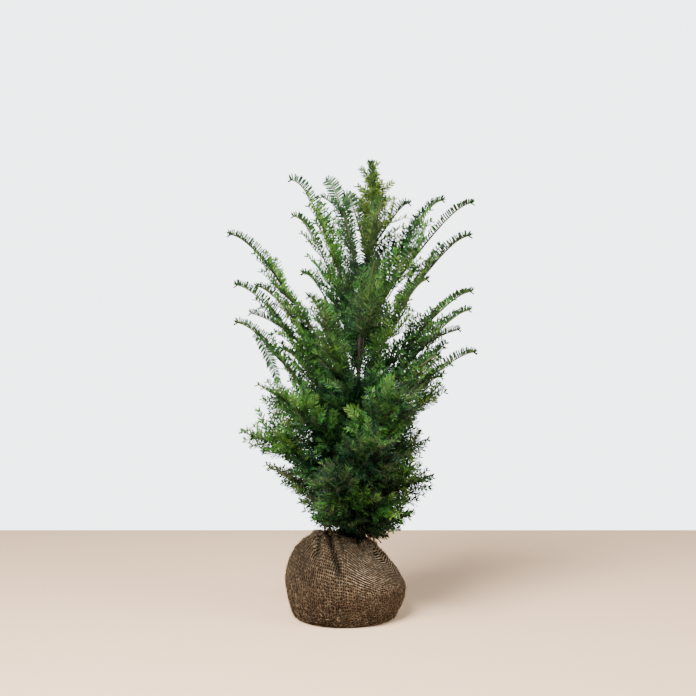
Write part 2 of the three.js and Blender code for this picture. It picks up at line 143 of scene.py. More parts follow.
def front_folds(point):
    """Depth of the front creases at a point, and how much of it stands in their shade from 0 to 1."""
    depth, shade = 0.0, 0.0
    for top_x, foot_x, foot_z, width, crease in FRONT_CREASES:
        down = (0.195 - point.z) / (0.195 - foot_z)
        off = (point.x - top_x - (foot_x - top_x) * down) / (width * (1 + 0.7 * max(0.0, down)))
        fade = smooth_step(foot_z - 0.006, foot_z + 0.045, point.z) * smooth_step(0.0, 0.05, -point.y)
        depth += crease * fade * (math.exp(-(off**2)) - 0.35 * math.exp(-((abs(off) - 1.9) ** 2)))
        shade = max(shade, fade * math.exp(-((1.2 * off) ** 2)))
    return depth, shade


def drape(rest):
    """Where the ball's own lumps and the pull of the knots bring a point of the evenly gathered cloth."""
    radius = math.hypot(rest.x, rest.y)
    if rest.z < 0.002 and radius < FOOT_RADIUS + 0.002:
        return rest.copy()
    turn = math.atan2(rest.y, rest.x)
    gather = smooth_step(GATHER_START, GATHER_END, rest.z)
    # from the rim of the gather in to the trunk
    inside = min(1.0, max(0.0, (0.060 - radius) / 0.036)) if rest.z > 0.18 else 0.0
    # the ball is not quite round, its left shoulder is higher, and its mouth is drawn towards the trunk
    lump = (0.003 * math.cos(2 * turn + 0.6) + 0.0025 * math.cos(3 * turn - 1.1)) * (1 - gather)
    tilt = 0.026 * math.sin(math.pi * (rest.z / 0.215) ** 2) * math.cos(turn) * (1 - inside)
    shift = 0.005 * gather * (1 - inside) + 0.036 * inside
    radius += lump
    point = Vector((shift + radius * math.cos(turn), radius * math.sin(turn), rest.z - tilt))
    stand = sum(pleats(point, *knot) for knot in KNOT_PLEATS)
    stand += 0.0050 * noise.noise(point * 13) + 0.0020 * noise.noise(point * 47 + Vector((3, 1, 7)))
    stand -= front_folds(point)[0]
    stand *= smooth_step(0.0, 0.02, rest.z) * (1 - 0.6 * inside)
    return point + outward_from(point) * stand


rest_shape = [vertex.co.copy() for vertex in wrap.data.vertices]
for vertex, rest in zip(wrap.data.vertices, rest_shape):
    vertex.co = drape(rest)
lowest = min(vertex.co.z for vertex in wrap.data.vertices)
fold_shade = wrap.data.attributes.new("fold_shade", "FLOAT", "POINT")
for vertex in wrap.data.vertices:
    fold_shade.data[vertex.index].value = front_folds(vertex.co)[1] if vertex.co.z > BALL_MIDDLE else 0.0
    vertex.co.z = max(0.0, vertex.co.z - lowest)

# The weave's own coordinates: warp threads are counted round the ball and weft threads up it, both in
# threads. The cloth hangs on the bias towards the right knot, so the threads turn there.
profile = [(FOOT_RADIUS, 0.0)] + BALL_RINGS
lengths = [0.0]
for before, after in zip(profile, profile[1:]):
    lengths.append(lengths[-1] + math.dist(before, after))


def cloth_length(radius, height):
    """How far up the cloth a point of the evenly gathered shape lies, from the edge of the underside."""
    best = (1.0, 0.0)
    for (before, after), start in zip(zip(profile, profile[1:]), lengths):
        step = (after[0] - before[0], after[1] - before[1])
        square = step[0] ** 2 + step[1] ** 2
        along = ((radius - before[0]) * step[0] + (height - before[1]) * step[1]) / square
        along = min(1.0, max(0.0, along))
        off = math.hypot(radius - before[0] - along * step[0], height - before[1] - along * step[1])
        if off < best[0]:
            best = (off, start + along * math.sqrt(square))
    return best[1]


weave_map = wrap.data.uv_layers.new(name="weave")
climb = {}
for polygon in wrap.data.polygons:
    turns = [math.atan2(rest_shape[v].y, rest_shape[v].x) for v in polygon.vertices]
    seam = max(turns) - min(turns) > math.pi
    for loop, vertex, turn in zip(polygon.loop_indices, polygon.vertices, turns):
        rest = rest_shape[vertex]
        radius = math.hypot(rest.x, rest.y)
        if vertex not in climb:
            flat = rest.z < 0.002 and radius < FOOT_RADIUS - 0.001
            climb[vertex] = radius - FOOT_RADIUS if flat else cloth_length(radius, rest.z)
        if seam and turn < 0:
            turn += 2 * math.pi
        bias = 0.30 * math.exp(-(((turn + 1.0) / 0.62) ** 2)) if turn < math.pi else 0.0
        warp = turn / (2 * math.pi) * THREADS_ROUND + bias * (climb[vertex] - 0.06) / THREAD_PITCH
        swag = 0.085 * smooth_step(-1.75, -0.35, turn if turn < math.pi else turn - 2 * math.pi)
        swag *= (1 - smooth_step(-0.35, 1.6, turn)) * smooth_step(0.0, 0.20, climb[vertex])
        weave_map.data[loop].uv = (warp, (climb[vertex] + swag) / WEFT_PITCH)


def patterned(name, roughness, specular=0.5):
    """A new material, its nodes and links, its shader and the piece's own coordinates."""
    material = bpy.data.materials.new(name)
    material.use_nodes = True
    nodes = material.node_tree.nodes
    shader = nodes["Principled BSDF"]
    shader.inputs["Roughness"].default_value = roughness
    shader.inputs["Specular IOR Level"].default_value = specular
    place = nodes.new("ShaderNodeTexCoord").outputs["Object"]
    return material, nodes, material.node_tree.links, shader, place


def feed(socket, value):
    """Give a socket a number, a colour or what another node puts out."""
    if isinstance(value, (int, float)):
        socket.default_value = value
    elif isinstance(value, tuple):
        socket.default_value = (*value, 1)
    else:
        links.new(value, socket)


def reckon(operation, *values, clamp=False):
    """One arithmetic step on numbers or node outputs."""
    node = nodes.new("ShaderNodeMath")
    node.operation = operation
    node.use_clamp = clamp
    for socket, value in zip(node.inputs, values):
        feed(socket, value)
    return node.outputs[0]


def plus(first, second):
    return reckon("ADD", first, second)


def minus(first, second):
    return reckon("SUBTRACT", first, second)


def times(first, second):
    return reckon("MULTIPLY", first, second)


def wave(value, turns):
    """A wave that goes from 1 to -1 and back in so many turns of the value."""
    return reckon("COSINE", times(value, turns * 2 * math.pi))


def noise_on(vector, scale, detail=2.0, roughness=0.5):
    node = nodes.new("ShaderNodeTexNoise")
    node.inputs["Scale"].default_value = scale
    node.inputs["Detail"].default_value = detail
    node.inputs["Roughness"].default_value = roughness
    links.new(vector, node.inputs["Vector"])
    return node.outputs["Fac"]


def colour_steps(factor, steps):
    """A colour ramp through (place, colour) pairs."""
    ramp = nodes.new("ShaderNodeValToRGB")
    elements = ramp.color_ramp.elements
    while len(elements) < len(steps):
        elements.new(0.5)
    for element, (place, colour) in zip(elements, steps):
        element.position = place
        element.color = (*colour, 1)
    links.new(factor, ramp.inputs["Fac"])
    return ramp.outputs["Color"]


def blend_colours(factor, first, second, kind="MIX"):
    node = nodes.new("ShaderNodeMix")
    node.data_type = "RGBA"
    node.blend_type = kind
    for name, value in (("Factor", factor), ("A", first), ("B", second)):
        feed(node.inputs[name], value)
    return node.outputs["Result"]


def add_relief(height, strength, distance):
    """Let the light show a pattern's relief."""
    relief = nodes.new("ShaderNodeBump")
    relief.inputs["Strength"].default_value = strength
    relief.inputs["Distance"].default_value = distance
    links.new(height, relief.inputs["Height"])
    links.new(relief.outputs["Normal"], shader.inputs["Normal"])


jute, nodes, links, shader, place = patterned("coarse_jute", 0.95, 0.15)
weave_uv = nodes.new("ShaderNodeUVMap")
weave_uv.uv_map = "weave"
split = nodes.new("ShaderNodeSeparateXYZ")
links.new(weave_uv.outputs["UV"], split.inputs["Vector"])
height_split = nodes.new("ShaderNodeSeparateXYZ")
links.new(place, height_split.inputs["Vector"])
height = height_split.outputs["Z"]
# the soiled foot of the cloth is matted, so its threads wander more there
matted_height = plus(height, times(noise_on(place, 18, 3), 0.13))
matting = colour_steps(matted_height, [(0.10, (1, 1, 1)), (0.185, (0, 0, 0))])
wander = reckon("MULTIPLY_ADD", matting, 2.2, 0.5)
warp = plus(split.outputs["X"], times(noise_on(place, 62, 3), wander))
weft = plus(split.outputs["Y"], times(noise_on(place, 78, 3), wander))
warp_thread, weft_thread = wave(warp, 1), wave(weft, 1)
# over and under: which of the two threads lies on top at each crossing
crossing = times(times(wave(warp, 0.5), wave(weft, 0.5)), 0.4)
# on the left the pull of the knot tightens the upright threads, on the right-hand front the swagged ones
left_pull_and_shade = reckon("MULTIPLY_ADD", height_split.outputs["X"], -22.0, -0.75, clamp=True)
right_pull_and_light = reckon("MULTIPLY_ADD", height_split.outputs["X"], 24.0, 0.1, clamp=True)
right_pull_and_light = times(right_pull_and_light, reckon("MULTIPLY_ADD", height, 22.0, -1.5, clamp=True))
pull = times(minus(left_pull_and_shade, right_pull_and_light), 0.50)
warp_height = plus(plus(warp_thread, crossing), pull)
weft_height = minus(minus(weft_thread, crossing), pull)
fibres = noise_on(place, 480, 4, 0.75)
fuzzy_height = plus(reckon("MAXIMUM", warp_height, weft_height), times(fibres, 1.1))
# every thread has a tone of its own; on the right-hand front the threads are painted lighter, as painted
# light, and on the left darker, as painted shade
thread_number = nodes.new("ShaderNodeCombineXYZ")
links.new(reckon("ROUND", warp), thread_number.inputs["X"])
links.new(reckon("ROUND", weft), thread_number.inputs["Y"])
thread_shade = nodes.new("ShaderNodeTexWhiteNoise")
thread_shade.noise_dimensions = "2D"
links.new(thread_number.outputs["Vector"], thread_shade.inputs["Vector"])
own_shade = plus(times(thread_shade.outputs["Value"], 0.30), times(fibres, 0.72))
thread_colour = colour_steps(
    plus(own_shade, minus(times(right_pull_and_light, 0.26), times(left_pull_and_shade, 0.08))),
    [
        (0.2, (0.055, 0.037, 0.0225)),
        (0.48, (0.130, 0.097, 0.062)),
        (0.68, (0.28, 0.223, 0.152)),
        (0.92, (0.70, 0.59, 0.45)),
    ],
)
hole = colour_steps(minus(fuzzy_height, times(right_pull_and_light, 0.42)), [(0.92, (1, 1, 1)), (1.42, (0, 0, 0))])
woven = blend_colours(hole, thread_colour, (0.014, 0.009, 0.005))
stain = colour_steps(noise_on(place, 10, 4, 0.6), [(0.34, (0.6, 0.54, 0.46)), (0.64, (1.08, 1.0, 0.92))])
damp_height = plus(height, times(noise_on(place, 16, 4), 0.09))
damp = colour_steps(damp_height, [(0.05, (0.33, 0.30, 0.27)), (0.15, (0.88, 0.87, 0.85))])
# painted shade: the cloth is darkened along the front creases by their fold_shade, with a little noise
fold_place = nodes.new("ShaderNodeAttribute")
fold_place.attribute_name = "fold_shade"
painted_crease_shade = colour_steps(
    plus(fold_place.outputs["Fac"], times(noise_on(place, 90, 3), 0.3)),
    [(0.25, (1, 1, 1)), (0.85, (0.34, 0.36, 0.24))],
)
# the stains, the damp foot and the painted shade of the creases darken the weave in turn
for dirt_and_shade in (stain, damp, painted_crease_shade):
    woven = blend_colours(1.0, woven, dirt_and_shade, "MULTIPLY")
links.new(woven, shader.inputs["Base Color"])
add_relief(fuzzy_height, 1.0, 0.0025)
wrap.data.materials.append(jute)
clear_selection()
wrap.select_set(True)
bpy.context.view_layer.objects.active = wrap
bpy.ops.object.shade_smooth()
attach(wrap, "root")
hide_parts("root_ball")


# The limbs' own lines. Every limb leaves the trunk at its fork, rises towards its tip and nods over in its
# last stretch. The bare boughs, the stems of the foliage and all that grows from them follow the same lines.
SEAT_HEIGHT = 0.189
TRUNK_TOP = 0.985
TRUNK_X = 0.041
TRUNK_LEAN = 0.026
TRUNK_BOW = 0.021
TRUNK_SWAY = 0.005
UP = np.array((0.0, 0.0, 1.0))


def up_the_trunk(height):
    return (height - SEAT_HEIGHT) / (TRUNK_TOP - SEAT_HEIGHT)


def trunk_middle(height, sine=math.sin):
    """Where the middle of the trunk stands at a height, or at an array of heights with an array's sine."""
    share = up_the_trunk(height)
    x = TRUNK_X + TRUNK_LEAN * share - TRUNK_BOW * sine(math.pi * share)
    return x, TRUNK_SWAY * sine(2 * math.pi * share)


def trunk_axis(height):
    return np.array((*trunk_middle(height), height))


def seeded(state):
    """A stream of numbers from 0 to 1 that is the same on every run."""
    state &= 0xFFFFFFFF
    while True:
        state = (state * 1664525 + 1013904223) & 0xFFFFFFFF
        yield state / 4294967296


def limb_points(foot, bearing, reach, rise, sway):
    """The four control points of a limb's line."""
    out = np.array((math.cos(math.radians(bearing)), math.sin(math.radians(bearing)), 0.0))
    side = np.array((-out[1], out[0], 0.0))
    tip = foot + out * reach + UP * rise
    chord = math.hypot(reach, rise)
    slope = math.atan2(rise, reach)
    nod = slope * 0.12
    first = foot + 0.42 * chord * (math.cos(slope) * out + math.sin(slope) * UP) + sway * chord * side
    second = tip - 0.15 * chord * (math.cos(nod) * out + math.sin(nod) * UP) - 0.5 * sway * chord * side
    return np.array((foot, first, second, tip)), side, chord


SEED = 20417
SWAY = 0.08
# how much the close crown's limbs stray from even: bearing in degrees, share of the reach, height of the fork
BEARING_PLAY, LEAST_REACH, REACH_PLAY, HEIGHT_PLAY = 20, 0.94, 0.12, 0.016
# name, height of the fork, bearing in degrees (0 right, 90 back, 180 left, 270 front), reach, rise, bare
# share
LONG_BOUGHS = [
    ("left_long", 0.553, 175, 0.318, 0.389, 0.26),
    ("left_upper", 0.718, 192, 0.173, 0.350, 0.24),
    ("left_back_upper", 0.800, 130, 0.145, 0.286, 0.22),
    ("left_wide", 0.500, 186, 0.296, 0.314, 0.19),
    ("left_wide_back", 0.528, 160, 0.272, 0.288, 0.2),
    ("left_outer", 0.398, 180, 0.298, 0.325, 0.22),
    ("right_upper", 0.725, 352, 0.268, 0.287, 0.25),
    ("right_upper_back", 0.765, 20, 0.214, 0.266, 0.24),
    ("right_mid", 0.640, 8, 0.276, 0.299, 0.22),
    ("right_wide", 0.545, 346, 0.278, 0.252, 0.19),
    ("right_wide_back", 0.490, 14, 0.290, 0.265, 0.2),
    ("right_low", 0.455, 358, 0.285, 0.196, 0.2),
]
SHORT_LIMBS = [
    ("front_left", 0.500, 234, 0.196, 0.282),
    ("front_mid", 0.590, 282, 0.186, 0.276),
    ("front_right", 0.560, 318, 0.214, 0.262),
    ("front_upper", 0.735, 248, 0.128, 0.250),
    ("back_left", 0.470, 135, 0.236, 0.250),
    ("back_mid", 0.590, 98, 0.214, 0.262),
    ("back_upper", 0.740, 78, 0.140, 0.240),
    ("right_inner", 0.668, 330, 0.152, 0.226),
    ("left_inner", 0.640, 158, 0.150, 0.208),
    ("left_mid", 0.690, 166, 0.171, 0.298),
    ("left_low", 0.425, 196, 0.190, 0.232),
    ("right_low_front", 0.440, 336, 0.208, 0.204),
    ("leader_right", 0.897, 8, 0.100, 0.120),
    ("leader_front", 0.850, 300, 0.084, 0.168),
    ("leader_left", 0.890, 196, 0.058, 0.142),
    ("leader_back", 0.862, 80, 0.080, 0.160),
]
# the close lower crown: height of the fork, limbs, first bearing, reach, extra reach to the left, rise
LOWER_TIERS = [
    (0.226, 3, 214, 0.120, 0.0, 0.026),
    (0.262, 4, 158, 0.180, 0.026, 0.084),
    (0.322, 4, 186, 0.208, 0.046, 0.116),
    (0.376, 4, 205, 0.214, 0.012, 0.166),
]
limbs = []


def keep_limb(kind, name, bare, points, side, chord):
    limbs.append({"kind": kind, "name": name, "bare": bare, "points": points, "side": side, "chord": chord})


def add_limb(kind, number, name, height, bearing, reach, rise, bare=0.0):
    sway = (next(seeded(SEED + 97 * number)) - 0.5) * SWAY
    keep_limb(kind, name, bare, *limb_points(trunk_axis(height), bearing, reach, rise, sway))


for number, bough in enumerate(LONG_BOUGHS):
    add_limb("long", number, *bough)
for number, limb in enumerate(SHORT_LIMBS):
    add_limb("short", 40 + number, *limb)
for tier, (height, count, first_bearing, reach, leftward, rise) in enumerate(LOWER_TIERS):
    for i in range(count):
        chance = seeded(SEED + 1000 + 10 * tier + i)
        bearing = first_bearing + 360 / count * i + (next(chance) - 0.5) * BEARING_PLAY
        limb_reach = reach - leftward * math.cos(math.radians(bearing))
        limb_reach *= LEAST_REACH + REACH_PLAY * next(chance)
        limb_height = height + (next(chance) - 0.5) * HEIGHT_PLAY
        name = f"lower_{tier + 1}_{i + 1}"
        add_limb("close", 60 + 10 * tier + i, name, limb_height, bearing, limb_reach, rise)
LEADER_LENGTH = 0.130
leader_foot = trunk_axis(TRUNK_TOP)
leader_tip = (-0.003, 0.002, LEADER_LENGTH)
leader_steps = np.array(((0, 0, 0.0003), (0.004, 0, 0.052), (0.003, 0, 0.091), leader_tip))
keep_limb("leader", "leader", 0.0, leader_foot + leader_steps, np.array((0.0, 1.0, 0.0)), LEADER_LENGTH)
leader_number = len(limbs) - 1


def along_limb(points, t):
    """Places on a limb's line for an array of shares t."""
    t = np.atleast_1d(t)[:, None]
    a, b, c, d = points
    return (1 - t) ** 3 * a + 3 * (1 - t) ** 2 * t * b + 3 * (1 - t) * t**2 * c + t**3 * d


def limb_direction(points, t):
    t = np.atleast_1d(t)[:, None]
    a, b, c, d = points
    direction = 3 * (1 - t) ** 2 * (b - a) + 6 * (1 - t) * t * (c - b) + 3 * t**2 * (d - c)
    return direction / np.linalg.norm(direction, axis=1, keepdims=True)


# The trunk: red-brown wood with thin bark that flakes in long strips. It flares where it leaves the soil,
# bows a little to the left and carries all the boughs; a bare stretch shows between the middle boughs.
TRUNK_RADIUS, TRUNK_TIP_RADIUS = 0.0095, 0.003
FLARE, FLARE_HEIGHT = 0.0055, 0.028
FORK_GAP = 0.0004


def trunk_radius(height):
    share = min(1.0, max(0.0, up_the_trunk(height)))
    flare = FLARE * math.exp(-3 * (height - SEAT_HEIGHT) / FLARE_HEIGHT)
    return TRUNK_RADIUS + (TRUNK_TIP_RADIUS - TRUNK_RADIUS) * share**0.85 + flare


def tube_along(name, places, radii, sides, relief_depth, finer):
    """A limb made ring by ring, as a disc extruded, turned and resized along its line, with its relief."""
    clear_selection()
    bpy.ops.mesh.primitive_circle_add(vertices=sides, radius=radii[0], fill_type="NGON", location=places[0])
    tube = rename(bpy.context.active_object, name)
    bpy.ops.object.mode_set(mode="EDIT")
    bpy.ops.mesh.select_all(action="SELECT")
    directions = np.gradient(np.array(places), axis=0)
    heading = Vector((0, 0, 1))
    for step, direction in enumerate(directions):
        if step:
            onward = Vector(places[step]) - Vector(places[step - 1])
            bpy.ops.mesh.extrude_region_move(TRANSFORM_OT_translate={"value": onward})
            widening = radii[step] / radii[step - 1]
            bpy.ops.transform.resize(value=(widening,) * 3, center_override=places[step])
        direction = Vector(direction).normalized()
        turn = heading.rotation_difference(direction)
        axis, angle = turn.to_axis_angle()
        if angle > 1e-4:
            to_world = axis.to_track_quat("Z", "Y").to_matrix()
            bpy.ops.transform.rotate(
                value=-angle,
                orient_axis="Z",
                orient_type="GLOBAL",
                orient_matrix=to_world,
                center_override=places[step],
            )
        heading = direction
    bpy.ops.mesh.select_all(action="SELECT")
    bpy.ops.mesh.normals_make_consistent(inside=False)
    bpy.ops.object.mode_set(mode="OBJECT")
    bpy.ops.object.transform_apply(location=True, rotation=True, scale=True)
    subdivision = tube.modifiers.new("finer bark", "SUBSURF")
    subdivision.levels = subdivision.render_levels = finer
    bpy.ops.object.modifier_apply(modifier=subdivision.name)
    normals = [vertex.normal.copy() for vertex in tube.data.vertices]
    for vertex, normal in zip(tube.data.vertices, normals):
        around = vertex.co * 260
        around.z *= 0.22
        vertex.co += relief_depth * (noise.noise(around) + 0.5 * noise.noise(around * 2.3)) * normal
    bpy.ops.object.shade_smooth()
    return tube


# the rings stand closer together in the flared foot
heights = SEAT_HEIGHT + FORK_GAP + (TRUNK_TOP - SEAT_HEIGHT - 2 * FORK_GAP) * np.linspace(0, 1, 50) ** 1.4
places, radii = [trunk_axis(h) for h in heights], [trunk_radius(h) for h in heights]
trunk = tube_along("trunk_bark", places, radii, sides=14, relief_depth=0.0009, finer=2)
bark, nodes, links, shader, place = patterned("flaking_bark", 0.85)
strips = nodes.new("ShaderNodeMapping")
strips.inputs["Scale"].default_value = (1, 1, 0.18)
links.new(place, strips.inputs["Vector"])
flakes = noise_on(strips.outputs["Vector"], 420, 5, 0.65)
bark_colours = [
    (0.3, (0.010, 0.007, 0.005)),
    (0.5, (0.034, 0.022, 0.015)),
    (0.64, (0.085, 0.058, 0.04)),
    (0.8, (0.22, 0.17, 0.125)),
]
links.new(colour_steps(flakes, bark_colours), shader.inputs["Base Color"])
add_relief(flakes, 0.8, 0.0012)
trunk.data.materials.append(bark)
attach(trunk, "root")
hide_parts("trunk")


# The knots: the corners of the jute square, twisted into cords of cloth and tied across the gather, one on
# the left shoulder and a smaller one on the right. Their ends are left frayed.
CORD_STEPS = 5
STRAND_HEIGHT = 0.0007


def knot_cord(name, places, radius, end_radius):
    """A twisted cord of cloth along a line."""
    places = [Vector(place) for place in places]
    line = []
    for before, after in zip(places, places[1:]):
        line += [before.lerp(after, step / CORD_STEPS) for step in range(CORD_STEPS)]
    line.append(places[-1])
    smooth = [line[0]] + [(a + 2 * b + c) / 4 for a, b, c in zip(line, line[1:], line[2:])] + [line[-1]]
    radii = [radius + (end_radius - radius) * step / (len(smooth) - 1) for step in range(len(smooth))]
    cord = tube_along(name, [tuple(place) for place in smooth], radii, sides=10, relief_depth=0.0016, finer=1)
    for vertex in cord.data.vertices:
        turn = 900 * (vertex.co.x + vertex.co.z) + 500 * vertex.co.y
        vertex.co += vertex.normal * STRAND_HEIGHT * math.sin(turn)
    return cord


frayed, nodes, links, shader, place = patterned("frayed_jute", 0.95, 0.15)
strands = noise_on(place, 650, 4, 0.7)
frayed_colours = [
    (0.36, (0.045, 0.03, 0.018)),
    (0.52, (0.15, 0.105, 0.065)),
    (0.66, (0.30, 0.225, 0.15)),
    (0.8, (0.5, 0.4, 0.29)),
]
mixed_strands = plus(times(strands, 0.7), times(noise_on(place, 70, 3), 0.4))
links.new(colour_steps(mixed_strands, frayed_colours), shader.inputs["Base Color"])
add_relief(strands, 1.0, 0.0015)

# the places along each cord; the first two of a knot are its thick ones
LEFT_CORDS = [
    [(-0.060, -0.030, 0.205), (-0.050, -0.034, 0.216), (-0.038, -0.030, 0.220), (-0.026, -0.026, 0.212)],
    [(-0.046, -0.012, 0.206), (-0.040, -0.022, 0.222), (-0.037, -0.036, 0.219), (-0.036, -0.041, 0.206)],
    [(-0.052, -0.024, 0.208), (-0.047, -0.026, 0.223), (-0.049, -0.026, 0.231)],
    [(-0.034, -0.030, 0.214), (-0.022, -0.032, 0.210), (-0.016, -0.036, 0.198)],
]
RIGHT_CORDS = [
    [(0.056, -0.024, 0.193), (0.066, -0.028, 0.205), (0.078, -0.028, 0.201), (0.088, -0.030, 0.186)],
    [(0.070, -0.012, 0.194), (0.071, -0.026, 0.206), (0.070, -0.040, 0.190)],
    [(0.070, -0.028, 0.202), (0.062, -0.032, 0.209), (0.055, -0.034, 0.207)],
]
for side, cords, radius in (("left", LEFT_CORDS, 0.0050), ("right", RIGHT_CORDS, 0.0038)):
    for i, places in enumerate(cords):
        cord = knot_cord(f"knot_{side}_cord_{i + 1}", places, radius * (1 if i < 2 else 0.75), radius * 0.55)
        cord.data.materials.append(frayed)
        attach(cord, "root")
        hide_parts("wrap_knot_" + side)


# Loose jute: fibres that have worked out of the cloth. They lie matted over the soiled lower half, follow the
# pull of the knots over the shoulders and hang as straws from the torn edge of the gather.
FIBRE_FLOOR = 0.0012
FIBRE_LIFT = 0.0007
BENDS = 3


def on_cloth(turn, climbed, lift):
    """A place on the draped cloth, lifted off it a little: its bearing, and its way up the cloth."""
    radius = float(np.interp(climbed, lengths, [p[0] for p in profile]))
    height = float(np.interp(climbed, lengths, [p[1] for p in profile]))
    point = drape(Vector((radius * math.cos(turn), radius * math.sin(turn), height)))
    point.z -= lowest
    point += lift * outward_from(point)
    point.z = max(FIBRE_FLOOR, point.z)
    return point


def loose_fibre(dice, turn, climbed, heading, length, lift):
    """Four places along a fibre that lies on the cloth, bends as it goes and lifts at its end."""
    places = []
    for step in range(BENDS + 1):
        places.append(on_cloth(turn, climbed, lift * (step / BENDS) ** 2 + FIBRE_LIFT))
        radius = max(0.03, math.hypot(places[-1].x, places[-1].y))
        turn += math.cos(heading) * length / BENDS / radius
        climbed = min(lengths[-2], max(0.004, climbed + math.sin(heading) * length / BENDS))
        heading += dice.uniform(-0.5, 0.5)
    return [tuple(place) for place in places]


# fibres, lowest and highest start up the cloth, heading and its spread, shortest, longest, most lift
FIBRE_GROUPS = [
    (1900, 0.004, 0.120, 0.0, 3.2, 0.007, 0.019, 0.0012),
    (300, 0.090, 0.205, 1.57, 0.7, 0.010, 0.024, 0.0015),
    (360, 0.205, 0.262, -1.57, 0.9, 0.014, 0.034, 0.0050),
    (260, 0.010, 0.200, 0.0, 3.2, 0.006, 0.014, 0.0060),
]
fibre_dice = np.random.default_rng(11)
fibre_lines = []
for fibres_here, low, high, heading, spread, shortest, longest, lift in FIBRE_GROUPS:
    for _ in range(fibres_here):
        fibre_lines.append(
            loose_fibre(
                fibre_dice,
                fibre_dice.uniform(-math.pi, math.pi),
                fibre_dice.uniform(low, high),
                heading + fibre_dice.uniform(-spread, spread),
                fibre_dice.uniform(shortest, longest),
                lift * fibre_dice.random(),
            )
        )


def unit(vectors):
    return vectors / np.linalg.norm(vectors, axis=-1, keepdims=True)


def rods(centres, radii, sides, above):
    """Rods through rows of centres. Returns points and faces; each rod is closed by its tip and its foot."""
    count, steps, _ = centres.shape
    along = unit(np.gradient(centres, axis=1))
    reference = unit(above[:, None] - (above[:, None] * along).sum(-1, keepdims=True) * along)
    across = np.cross(along, reference)
    angle = (np.arange(sides) * 2 * np.pi / sides)[None, None, :, None]
    ring = np.cos(angle) * reference[:, :, None] + np.sin(angle) * across[:, :, None]
    points = (centres[:, :, None] + ring * radii[:, :, None, None]).reshape(count, -1, 3)
    tips = centres[:, -1] + along[:, -1] * radii[:, -1, None] * 1.6
    feet = centres[:, 0] - along[:, 0] * radii[:, 0, None] * 0.4
    points = np.concatenate([points, tips[:, None], feet[:, None]], axis=1)
    faces = []
    for step in range(steps - 1):
        for i in range(sides):
            j = (i + 1) % sides
            a, b = step * sides + i, step * sides + j
            faces += [(a, b, b + sides), (a, b + sides, a + sides)]
    tip, foot = steps * sides, steps * sides + 1
    for i in range(sides):
        j = (i + 1) % sides
        faces += [((steps - 1) * sides + i, (steps - 1) * sides + j, tip), (j, i, foot)]
    faces = np.array(faces)[None] + (np.arange(count) * points.shape[1])[:, None, None]
    return points.reshape(-1, 3), faces.reshape(-1, 3)


def joined_mesh(name, points, faces, material_index, materials, smooth=False):
    """Many small closed pieces as one mesh."""
    mesh = bpy.data.meshes.new(name)
    mesh.vertices.add(len(points))
    mesh.vertices.foreach_set("co", np.ascontiguousarray(points, dtype=np.float32).ravel())
    mesh.loops.add(3 * len(faces))
    mesh.loops.foreach_set("vertex_index", np.ascontiguousarray(faces, dtype=np.int32).ravel())
    mesh.polygons.add(len(faces))
    mesh.polygons.foreach_set("loop_start", np.arange(0, 3 * len(faces), 3, dtype=np.int32))
    mesh.polygons.foreach_set("material_index", np.ascontiguousarray(material_index, dtype=np.int32))
    mesh.polygons.foreach_set("use_smooth", np.full(len(faces), smooth))
    for material in materials:
        mesh.materials.append(material)
    mesh.update(calc_edges=True)
    mesh.validate()
    piece = bpy.data.objects.new(name, mesh)
    bpy.context.collection.objects.link(piece)
    return piece


fibre_lines = np.array(fibre_lines)
fibre_radius = fibre_dice.uniform(0.00024, 0.00042, (len(fibre_lines), 1)) * np.array((1.0, 1.0, 0.9, 0.5))
outward_of_fibres = unit(fibre_lines[:, 0] - (0, 0, BALL_MIDDLE))
points, faces = rods(fibre_lines, fibre_radius, 3, outward_of_fibres)
loose_jute, nodes, links, shader, place = patterned("loose_jute", 0.9, 0.2)
fibre_colours = [
    (0.36, (0.035, 0.024, 0.014)),
    (0.5, (0.11, 0.08, 0.047)),
    (0.62, (0.25, 0.19, 0.12)),
    (0.74, (0.55, 0.44, 0.30)),
]
links.new(colour_steps(noise_on(place, 150, 3, 0.7), fibre_colours), shader.inputs["Base Color"])
fibres = joined_mesh("loose_jute_fibres", points, faces, np.zeros(len(faces), int), [loose_jute], smooth=True)
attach(fibres, "root")


# The twelve long boughs: straight young limbs of the same bark that taper from the trunk to where their
# foliage begins. Each swells a little at its fork.
BOUGH_RADIUS, BOUGH_TAPER, FORK_SWELL = 0.0036, 0.001, 0.0012
for limb in limbs:
    if limb["kind"] != "long":
        continue
    shares = np.linspace(0.004, limb["bare"], 12)
    radii = [BOUGH_RADIUS - BOUGH_TAPER * s / limb["bare"] + FORK_SWELL * math.exp(-s / 0.03) for s in shares]
    places = along_limb(limb["points"], shares)
    bough = tube_along("bough_bark_" + limb["name"], places, radii, sides=8, relief_depth=0.0004, finer=1)
    bough.data.materials.append(bark)
    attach(bough, "root")
    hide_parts("bough_" + limb["name"])


# What grows on the limbs. Side shoots leave each stem to either side and bear twigs of their own; the last
# stretch bears needles alone. In the close lower crown they leave all round, and fans and upright sprays end
# the limbs. A mass keeps to the space round its own stem, so its shoots stop where they would leave it.
STEM_SAMPLES = 17
FAR = 1e9
# the shoots at the top of the trunk, between these heights, belong to the leader
LEADER_SPACE_FOOT, LEADER_SPACE_TOP = 0.74, 1.1
# how far foliage spreads from its stem at the stem's foot and at its tip, and how it tapers, by kind of limb
SPREAD = {
    "long": (0.086, 0.012, 1.7),
    "short": (0.096, 0.016, 1.25),
    "close": (0.120, 0.026, 0.70),
    "leader": (0.060, 0.022, 0.9),
}
